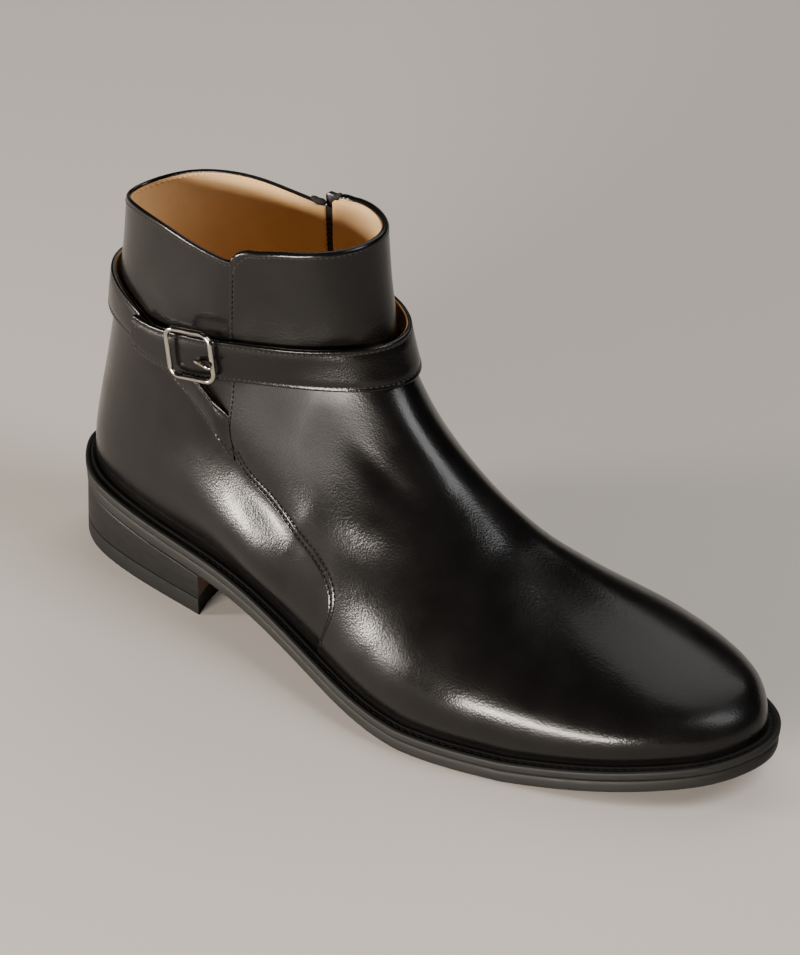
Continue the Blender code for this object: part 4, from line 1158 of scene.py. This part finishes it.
def plate_points(outline, levels):
    """Stack of outlines out from the zip: (distance out, inset) for each level."""
    middle = outline.mean(0)
    rings = []
    for out, inset in levels:
        way = outline - middle
        size = np.linalg.norm(way, axis=1, keepdims=True)
        ring = middle + way * (1.0 - inset / size)
        rings.append([on_zip(s, u, out) for s, u in ring])
    return np.array(rings).reshape(-1, 3)


def build_tape():
    """Zip tape behind the slot in the upper."""
    xs = ZIP_ALONG + np.linspace(-5.2, 5.2, 9)
    zs = np.linspace(ZIP_LOW - 3.0, ZIP_HIGH - 1.0, 40)
    face, back = (np.array([[inner_wall(x, z, deep) for x in xs] for z in zs]) for deep in TAPE_DEEP)
    points = np.concatenate([face, back[:, ::-1]], 1)
    rows, cols = points.shape[:2]
    faces = grid_faces(rows, cols, closed=True)
    faces += [list(range(cols)), [(rows - 1) * cols + k for k in range(cols)]]
    new_piece("zip_tape", points, faces, [TAPE], stands_for=("zip_chain",))


def build_slider():
    """Slider at the collar: a body, narrower below, two lugs and the pin between them."""
    top = SLIDER_SEAT + SLIDER_THICK
    levels = [(SLIDER_SEAT, 0.5), (SLIDER_SEAT + 0.3, 0.0), (top - 0.7, 0.0), (top - 0.2, 0.35), (top, 1.0)]
    outline = rounded(SLIDER_WIDE, -SLIDER_LONG / 2.0, SLIDER_LONG / 2.0, 1.8)
    outline[:, 0] *= 1.0 - 0.12 * (outline[:, 1] < 0.0)
    points = plate_points(outline, levels)
    faces = tube_faces(len(levels), len(outline), False)
    foot = EYE_RADIUS * 1.3
    arch = [(foot, SLIDER_SEAT + 1.0), (EYE_RADIUS, PIN_OUT)]
    arch += [(EYE_RADIUS * math.cos(t), PIN_OUT + EYE_RADIUS * math.sin(t))
             for t in np.linspace(0.3, math.pi - 0.3, 9)]
    arch += [(-EYE_RADIUS, PIN_OUT), (-foot, SLIDER_SEAT + 1.0)]
    for lug in (-1.0, 1.0):
        faces_at = (lug * LUG_IN, lug * (LUG_IN + LUG_THICK))
        ring = np.array([[on_zip(s, u, o) for u, o in arch] for s in faces_at]).reshape(-1, 3)
        points, faces = add_part(points, faces, ring, 2, len(arch))
    ends = [on_zip(s * (LUG_IN + 0.4), 0.0, PIN_OUT) for s in (-1.0, 1.0)]
    pin = bar_points(ends, [PIN_RADIUS, PIN_RADIUS], zip_up, ROUND_SIDES)
    points, faces = add_part(points, faces, pin, 2, ROUND_SIDES)
    new_piece("zip_slider_body", points, faces, [ZIP_METAL], stands_for=("zip_slider",))


def build_tape_ends():
    """Folded ends of the tape, sewn down on the collar's edge beside the slider."""
    rim, _ = row_lines(np.array([2.0 - RIM_SHARE]), 1.0)
    rim = rim[0][np.argsort(rim[0][:, 0])]
    points = np.zeros((0, 3))
    faces = []
    for start, end in ((-2.2, -8.4), (2.2, 5.6)):
        share = np.linspace(0.0, 1.0, 12)
        x = ZIP_ALONG + start + (end - start) * share
        lift = 0.75 + 0.25 * np.sin(9.0 * share) + (front_lift(x) if start > 0.0 else 0.0)
        path = np.stack([x, np.interp(x, rim[:, 0], rim[:, 1]) - 0.75,
                         np.interp(x, rim[:, 0], rim[:, 2]) + lift], 1)
        radii = TAPE_END * np.sqrt(taper(share)) * (1.0 - 0.2 * share)
        ring = bar_points(path, radii, (0.0, 0.0, 1.0), 12)
        points, faces = add_part(points, faces, ring, len(path), 12)
    new_piece("zip_tape_ends", points, faces, [TAPE])


def build_pull_tab():
    """Pull tab: an eye round the pin, a neck and a rounded tab with a raised rim."""
    half = LUG_IN - GAP
    hole = PIN_RADIUS + GAP
    turn = np.linspace(0.0, 2.0 * math.pi, 33)[:-1]
    eye = ((-half, hole), (-half, EYE_RADIUS - 0.2), (-half + 0.2, EYE_RADIUS),
           (half - 0.2, EYE_RADIUS), (half, EYE_RADIUS - 0.2), (half, hole))
    points = np.array([[on_zip(s, r * math.cos(t), PIN_OUT + r * math.sin(t)) for t in turn] for s, r in eye])
    points = points.reshape(-1, 3)
    faces = tube_faces(len(eye), len(turn), True)
    thick = PULL_THICK / 2.0
    levels = [(-thick, 0.3), (-thick + 0.25, 0.0), (thick - 0.25, 0.0), (thick, 0.3)]
    rim = [(thick, 0.75), (thick - 0.25, 0.95)]
    neck = rounded(2.0 * (half - 0.15), -6.0, -EYE_RADIUS + 0.4, 0.5)
    tab = rounded(PULL_WIDE, -PULL_LONG, -3.6, 2.0)
    for outline, stack in ((neck, levels), (tab, levels + rim)):
        ring = plate_points(outline, [(PIN_OUT + out, inset) for out, inset in stack])
        points, faces = add_part(points, faces, ring, len(stack), len(outline))
    new_piece("zip_pull_tab", points, faces, [ZIP_METAL], body="pull_tab",
              stands_for=("zip_pull",))


build_tape()
build_slider()
build_pull_tab()
build_tape_ends()


# Sole
RING_COUNT = 480
HEEL_SIDE_COUNT = 70
HEEL_FRONT_COUNT = 24
WELT_TOP_ROWS = 8
RING_PICK = (np.arange(RING_COUNT) * len(OUTLINE)) // RING_COUNT
MID_OUT, MID_IN = halves(1.0)


# Welt from its inner edge over the stitch groove and down its side: inset from the edge, drop from its top
WELT_SIDE = (
    (WELT_WIDE, 0.0), (4.3, -0.1), (3.9, -0.2), (3.6, -0.05), (3.4, 0.15), (3.0, 0.2), (2.6, 0.35),
    (2.2, 0.2), (1.2, 0.16), (0.45, 0.22), (0.12, 0.45), (0.0, 0.8), (0.0, 1.5),
    (0.06, 2.2), (0.15, 2.7), (0.5, 3.15))

# Outsole's edge from above, then from below: inset, drop
OUTSOLE_TOP = ((8.3, 0.0), (1.2, 0.0), (0.35, 0.12), (0.0, 0.5), (-0.15, 1.6), (-0.15, 3.0))
OUTSOLE_FLOOR = ((0.0, -1.0), (0.3, -0.35), (0.9, 0.0), (3.3, 0.0))

# Heel's layers: share of the height, how far the edge is eased in
HEEL_LEVELS = ((0.0, 0.5), (0.02, 0.15), (0.06, 0.0), (0.5, 0.0), (0.94, 0.0), (0.98, 0.15), (1.0, 0.5))

# Sock from the middle of its underside round the edge to the middle of its top: share of the way in, drop
SOCK_RINGS = (
    (1.0, 2.5), (0.0, 2.5), (0.0, 0.5), (0.02, 0.1), (0.05, 0.0), (0.3, 0.3), (0.65, 0.5), (1.0, 0.55))


def mid_points(ring):
    """Points of the sole's middle line under each point of a ring."""
    x = np.clip(ring[:, 0], 34.0, 264.0)
    y_out = np.interp(-x, -MID_OUT[:, 0], MID_OUT[:, 1])
    y_in = np.interp(-x, -MID_IN[:, 0], MID_IN[:, 1])
    return np.stack([x, (y_out + y_in) / 2.0], 1)


def edge_ring(inset, high, drop):
    """Ring of points at an inset from the sole's edge, on a height line less a drop."""
    ring = inset_line(OUTLINE, inset)[RING_PICK]
    return np.column_stack([ring, high(ring[:, 0]) - drop])


def build_welt():
    """Welt with a groove for its stitches on top and a rounded, trimmed edge."""
    rings = [edge_ring(inset, welt_high, drop) for inset, drop in WELT_SIDE]
    rings += [edge_ring(inset, welt_low, 0.0) for inset in (1.2, WELT_WIDE)]
    faces = grid_faces(len(rings), RING_COUNT, closed=True)
    last = (len(rings) - 1) * RING_COUNT
    faces += [[last + k, last + (k + 1) % RING_COUNT, (k + 1) % RING_COUNT, k] for k in range(RING_COUNT)]
    # The welt's top rows take the near-black leather, darker than its edge: painted shade of the ledge under
    # the upper
    picks = [1 if i < WELT_TOP_ROWS * RING_COUNT else 0 for i in range(len(faces))]
    new_piece("welt_strip", rings, faces, [WELT_EDGE, BLACK_PAINTED_SHADE],
              stands_for=("welt",), picks=picks)


def sole_top(x):
    """Upper side of the outsole, just under the welt."""
    return welt_low(x) - GAP


def build_outsole():
    """Outsole with a rounded, trimmed edge, closed to its middle line above and below."""
    rings = [edge_ring(OUTSOLE_STEP + inset, sole_top, drop) for inset, drop in OUTSOLE_TOP]
    rings += [edge_ring(OUTSOLE_STEP + inset, floor_side, drop) for inset, drop in OUTSOLE_FLOOR]
    first, final = rings[0][:, :2], rings[-1][:, :2]
    for share in (0.35, 0.7, 1.0):
        flat = final + (mid_points(final) - final) * share
        rings.append(np.column_stack([flat, floor_side(flat[:, 0])]))
        flat = first + (mid_points(first) - first) * share
        rings.insert(0, np.column_stack([flat, sole_top(flat[:, 0])]))
    new_piece("outsole_leather", rings, grid_faces(len(rings), RING_COUNT, closed=True), [SOLE_EDGE],
              stands_for=("outsole",))


def heel_ring(inset, trim):
    """Plan of the heel at an inset: round the back, then across its hollow front."""
    outer, inner = halves(inset, trim)
    runs = []
    for half in (outer, inner):
        keep = half[half[:, 0] <= HEEL_LONG][::-1]
        arc = length_along(keep)
        even = np.linspace(0.0, arc[-1], HEEL_SIDE_COUNT)
        runs.append(np.stack([np.interp(even, arc, keep[:, k]) for k in (0, 1)], 1))
    corner_out, corner_in = runs[0][-1], runs[1][-1]
    share = np.linspace(-1.0, 1.0, HEEL_FRONT_COUNT)
    front = (corner_out + corner_in) / 2.0 + (corner_in - corner_out) / 2.0 * share[:, None]
    front[:, 0] -= HEEL_HOLLOW * (1.0 - share ** 2)
    return np.vstack([runs[0][:-1], front, runs[1][1:-1][::-1]])


def heel_slab(name, insets, trims, low, high, looks, stands_for):
    """Layer of the heel between two heights, with eased edges and its front in the second material."""
    grid = []
    for share, ease in HEEL_LEVELS:
        ring = heel_ring(insets[0] + (insets[1] - insets[0]) * share + ease * 0.6,
                         trims[0] + (trims[1] - trims[0]) * share)
        z = low(ring[:, 0]) + (high(ring[:, 0]) - low(ring[:, 0])) * share
        grid.append(np.column_stack([ring, z]))
    rows, cols = len(grid), len(grid[0])
    faces = grid_faces(rows, cols, closed=True)
    front = range(HEEL_SIDE_COUNT - 1, HEEL_SIDE_COUNT + HEEL_FRONT_COUNT - 2)
    picks = [1 if i % cols in front and len(looks) > 1 else 0 for i in range(len(faces))]
    faces += [list(range(cols))[::-1], [(rows - 1) * cols + k for k in range(cols)]]
    new_piece(name, grid, faces, looks, stands_for=stands_for, picks=picks + [0, 0])


def build_heel():
    """Stacked leather heel, blackened at the sides, on a rubber top lift."""
    step_lift = HEEL_STEP_FLOOR - (HEEL_STEP_FLOOR - HEEL_STEP_TOP) * 0.3
    heel_slab("heel_rubber", (HEEL_STEP_FLOOR, step_lift), (0.3 * HEEL_TRIM, 0.5 * HEEL_TRIM),
              np.zeros_like, lambda x: np.full_like(x, LIFT_THICK),
              [RUBBER], ("heel_top_lift",))
    heel_slab("heel_block", (step_lift, HEEL_STEP_TOP), (0.5 * HEEL_TRIM, HEEL_TRIM),
              lambda x: np.full_like(x, LIFT_THICK + GAP), lambda x: floor_side(x) - GAP,
              [HEEL_SIDE, STACK], ("heel_stack",))


def build_sock():
    """Sock of tan leather over the insole, a little dished."""
    ring = inset_line(OUTLINE, WELT_WIDE - SOCK_OVER)[RING_PICK]
    middle = mid_points(ring)
    rings = []
    for share, drop in SOCK_RINGS:
        flat = ring + (middle - ring) * share
        rings.append(np.column_stack([flat, welt_high(flat[:, 0]) + INSOLE_THICK - drop]))
    new_piece("sock_leather", rings, grid_faces(len(rings), RING_COUNT, closed=True), [SOCK_TAN],
              stands_for=("insole",))


build_welt()
build_outsole()
build_heel()
build_sock()


# Stitches and zip teeth
def row_tree(name, tooth):
    """Copies of a stitch or a tooth along lines, each turned along its line and standing off the surface."""
    tree = bpy.data.node_groups.new(name, "GeometryNodeTree")
    tree.interface.new_socket("Lines", in_out="INPUT", socket_type="NodeSocketGeometry")
    for label in ("Pitch", "Long", "Wide", "Thick"):
        tree.interface.new_socket(label, in_out="INPUT", socket_type="NodeSocketFloat")
    tree.interface.new_socket("Material", in_out="INPUT", socket_type="NodeSocketMaterial")
    tree.interface.new_socket("Copies", in_out="OUTPUT", socket_type="NodeSocketGeometry")
    given = node(tree, "NodeGroupInput").outputs
    curve = node(tree, "GeometryNodeMeshToCurve", {"Mesh": given["Lines"]})
    even = node(tree, "GeometryNodeResampleCurve",
                {"Curve": curve.outputs["Curve"], "Length": given["Pitch"]}, mode="LENGTH")
    tangent = node(tree, "GeometryNodeInputTangent")
    stand = node(tree, "GeometryNodeInputNamedAttribute", {"Name": "stand"}, data_type="FLOAT_VECTOR")
    along = node(tree, "FunctionNodeAlignRotationToVector", {"Vector": tangent.outputs["Tangent"]}, axis="X")
    turned = node(tree, "FunctionNodeAlignRotationToVector",
                  {"Rotation": along.outputs["Rotation"], "Vector": stand.outputs["Attribute"]},
                  axis="Z", pivot_axis="X")
    if tooth:
        shape = node(tree, "GeometryNodeMeshCube", {"Size": (1.0, 1.0, 1.0)})
    else:
        shape = node(tree, "GeometryNodeMeshUVSphere", {"Segments": 8, "Rings": 6, "Radius": 0.5})
    size = node(tree, "ShaderNodeCombineXYZ", {"X": given["Long"], "Y": given["Wide"], "Z": given["Thick"]})
    copies = node(tree, "GeometryNodeInstanceOnPoints",
                  {"Points": even.outputs["Curve"], "Instance": shape.outputs["Mesh"],
                   "Rotation": turned.outputs["Rotation"], "Scale": size.outputs["Vector"]})
    real = node(tree, "GeometryNodeRealizeInstances", {"Geometry": copies.outputs["Instances"]})
    painted = node(tree, "GeometryNodeSetMaterial", {"Geometry": real.outputs["Geometry"],
                                                     "Material": given["Material"]})
    node(tree, "NodeGroupOutput", {"Copies": painted.outputs["Geometry"]})
    return tree


STITCH_TREE = row_tree("stitch_row", False)
TOOTH_TREE = row_tree("zip_teeth_row", True)


def build_row(name, lines, look, sizes, tree=STITCH_TREE):
    """Row of copies along lines of (points, directions off the surface) in millimetres."""
    points = np.vstack([p for p, _ in lines])
    stand = np.vstack([np.broadcast_to(n, np.shape(p)) for p, n in lines])
    edges = []
    start = 0
    for p, _ in lines:
        edges += [(start + i, start + i + 1) for i in range(len(p) - 1)]
        start += len(p)
    mesh = bpy.data.meshes.new(name + "_lines")
    mesh.from_pydata(((points + SHIFT) * MM).tolist(), edges, [])
    mesh.attributes.new("stand", "FLOAT_VECTOR", "POINT").data.foreach_set("vector", stand.ravel())
    guide = put(name, mesh)
    step = guide.modifiers.new("rows", "NODES")
    step.node_group = tree
    values = dict(zip(("Pitch", "Long", "Wide", "Thick"), (s * MM for s in sizes)), Material=look)
    for item in tree.interface.items_tree:
        if item.in_out == "INPUT" and item.name in values:
            step[item.identifier] = values[item.name]
    graph = bpy.context.evaluated_depsgraph_get()
    made = bpy.data.meshes.new_from_object(guide.evaluated_get(graph))
    guide.modifiers.remove(step)
    guide.data = made
    guide.data.shade_smooth()
    if tree is TOOTH_TREE:
        guide.data.set_sharp_from_angle(angle=math.radians(40.0))
    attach(guide, "boot")


def seam_rows():
    """Rows of stitches beside the front panel's sewn edges: two low on the foot, one up the shaft."""
    lines = []
    for side, part in FRONT.items():
        sewn = part["cut"] > 2.5
        for from_edge in (ROW_NEAR, ROW_FAR):
            spots = along_rows(part["lines"], part["arc"], (part["cut"] + from_edge)[:, None])[:, 0]
            nearby = along_rows(part["lines"], part["arc"], (part["cut"] + from_edge + 1.0)[:, None])[:, 0]
            spots[:, 2] += front_lift(spots[:, 0]) * near_collar(FRONT_ROWS)
            ahead = np.gradient(spots, axis=0)
            stand = unit(np.cross(nearby - spots, ahead))
            stand *= np.sign(stand[:, 1:2] * side)
            keep = sewn & (FRONT_ROWS < CORNER_ROW)
            if from_edge == ROW_FAR:
                keep &= spots[:, 2] < DOUBLE_BELOW
            if side > 0.0:
                keep &= spots[:, 2] < INNER_ROW_BELOW
            high = PANEL_STEP - STITCH_SINK + crease_height(spots)
            lines.append((spots[keep] + (stand * high[:, None])[keep], stand[keep]))
    return lines


def corner_line(collar, seam):
    """Stitches round the collar's corner, from the top of the seam's row to the start of the collar's row."""
    spots = np.vstack([seam[0][-4:-1:2], collar[0][1:6:3]])
    ways = np.vstack([seam[1][-4:-1:2], collar[1][1:6:3]])
    run = length_along(spots)
    where = np.linspace(run[1], run[2], 12)
    return spline(run, spots)(where), unit(spline(run, ways)(where))


def collar_rows(seam_lines):
    """Row of stitches below the collar's edge, outside and in the lining."""
    base = 2.0 - COLLAR_ROW / BACK_LONG
    clear = ZIP_SLOT / 2.0 + 1.5
    nearest = np.argmin(abs(FRONT_ROWS - base))
    top, stand = FRONT_POINTS[nearest], FRONT_NORMAL[nearest]
    on_inner = top[:, 1] > 0.0
    keep = (both_sides("edge")[-1] > CORNER_ROUND) | on_inner
    keep &= ~(on_inner & (top[:, 0] < ZIP_ALONG + clear))
    top, stand = top[keep], stand[keep]
    outside = [(top + stand * (PANEL_STEP - 0.02), stand)]
    outside.append(corner_line(outside[0], seam_lines[0]))
    rear = []
    for side, stop in ((1.0, ZIP_ALONG - clear), (-1.0, ZIP_ALONG - 0.3)):
        row = row_lines(np.array([base]), side)[0][0]
        rear.append(row[row[:, 0] < stop])
    row = np.vstack([rear[0][::-1], rear[1][1:]])
    stand_rear = unit(np.cross(np.gradient(row, axis=0), (0.0, 0.0, 1.0)))
    stand_rear *= np.sign((stand_rear * (row - np.array([ANKLE, 0.0, 0.0]))).sum())
    outside.append((row + stand_rear * 0.02, stand_rear))
    deep = RIM_IN + 0.1
    return outside, [(top - stand * deep, -stand), (row - stand_rear * deep, -stand_rear)]


def strap_way(turn, share):
    """Directions off the strap's face."""
    return unit(strap_point(turn, share, STRAP_THICK + 1.0) - strap_point(turn, share, STRAP_THICK))


def strap_rows():
    """Rows of stitches along both edges of the strap and across its free end."""
    lines = []
    for edge, sign in ((0.0, 1.0), (1.0, -1.0)):
        share = strap_share(STRAP_TURNS, edge, sign * STRAP_ROW)
        spots = strap_point(STRAP_TURNS, share, STRAP_THICK - 0.1)
        lines.append((spots[3:-3], strap_way(STRAP_TURNS, share)[3:-3]))
    turn = STRAP["turn"][-1] + 2.5
    share = np.linspace(strap_share(turn, 0.0, STRAP_ROW), strap_share(turn, 1.0, -STRAP_ROW), 12)
    lines.append((strap_point(turn, share, STRAP_THICK), strap_way(turn, share)))
    return lines


def tooth_rows():
    """Two rows of zip teeth, half a pitch apart, up to the slider."""
    lines = []
    for side in (-1.0, 1.0):
        heights = np.linspace(ZIP_LOW + 1.0 + 0.5 * side, SLIDER_HIGH - 5.0, 60)
        lines.append((np.array([inner_wall(ZIP_ALONG + side * 0.85, z, -0.9) for z in heights]), zip_out))
    return lines


def welt_row():
    """Stitches in the groove on top of the welt, round the foot from waist to waist."""
    ring = edge_ring(2.6, welt_high, 0.3)
    return [(ring[ring[:, 0] > HEEL_LONG], np.array([0.0, 0.0, 1.0]))]


seam_lines = seam_rows()
collar_outside, collar_inside = collar_rows(seam_lines)
build_row("stitches_seams", seam_lines, THREAD, SEAM_STITCH)
build_row("stitches_collar", collar_outside, THREAD_GREY, STITCH)
build_row("stitches_lining", collar_inside, THREAD_TAN, STITCH)
build_row("stitches_strap", strap_rows(), THREAD_GREY, STITCH)
build_row("stitches_welt", welt_row(), THREAD, WELT_STITCH)
build_row("zip_teeth", tooth_rows(), ZIP_METAL, TEETH, TOOTH_TREE)


# Stage: pale floor, soft studio light and the camera
FLOOR_HALF = 6.0
LIT_MIDDLE = np.array([0.0, 0.0, 0.06])
WORLD_STRENGTH = 0.05

# Lamps: name, turn from the toe and height in degrees, metres away, metres wide and high, watts, colour
LAMPS = (
    ("side", -84.0, 6.0, 1.4, (0.70, 0.24), 54.0, "#fff6ea"),
    ("rear side", -140.0, 5.0, 1.4, (0.26, 0.18), 26.0, "#fff6ea"),
    ("front", 12.0, 50.0, 1.5, (0.60, 0.80), 13.0, "#ffffff"),
    ("top", 115.0, 52.0, 1.8, (1.40, 1.40), 11.0, "#fffaf4"))


def build_floor():
    """Plain pale floor."""
    mesh = bpy.data.meshes.new("floor")
    corners = [(x * FLOOR_HALF, y * FLOOR_HALF, 0.0) for x, y in ((-1, -1), (1, -1), (1, 1), (-1, 1))]
    mesh.from_pydata(corners, [], [(0, 1, 2, 3)])
    mesh.materials.append(new_look("floor_pale", "#d2cbc4", 0.8)[0])
    put("floor", mesh)


def build_lamps():
    """Low soft panels beside and behind the outer side, a tall one in front and a broad one above."""
    for name, turn, climb, far, size, power, colour in LAMPS:
        light = bpy.data.lights.new(name, "AREA")
        light.shape = "RECTANGLE"
        light.size, light.size_y = size
        light.energy = power
        light.color = linear(colour)[:3]
        turn, climb = math.radians(turn), math.radians(climb)
        way = np.array([math.cos(climb) * math.cos(turn), math.cos(climb) * math.sin(turn), math.sin(climb)])
        aim(put(name, light), LIT_MIDDLE + way * far, LIT_MIDDLE)
    world = bpy.data.worlds.new("studio")
    bpy.context.scene.world = world
    world.use_nodes = True
    sky = world.node_tree.nodes["Background"].inputs
    sky["Color"].default_value = linear("#cfcac4")
    sky["Strength"].default_value = WORLD_STRENGTH


def aim(item, spot, target):
    """Puts a lamp or the camera at a spot, looking at a target with no roll."""
    way = unit(np.asarray(target, float) - np.asarray(spot, float))
    item.location = tuple(spot)
    item.rotation_euler = (math.acos(-way[2]), 0.0, math.atan2(-way[0], way[1]))


def build_camera():
    """Camera at the photograph's place, looking at the boot."""
    data = bpy.data.cameras.new("camera")
    data.sensor_width = 36.0
    data.lens = CAMERA_LENS
    camera = put("camera", data)
    aim(camera, CAMERA_AT, CAMERA_LOOKS_AT)
    bpy.context.scene.camera = camera


build_floor()
build_lamps()
build_camera()
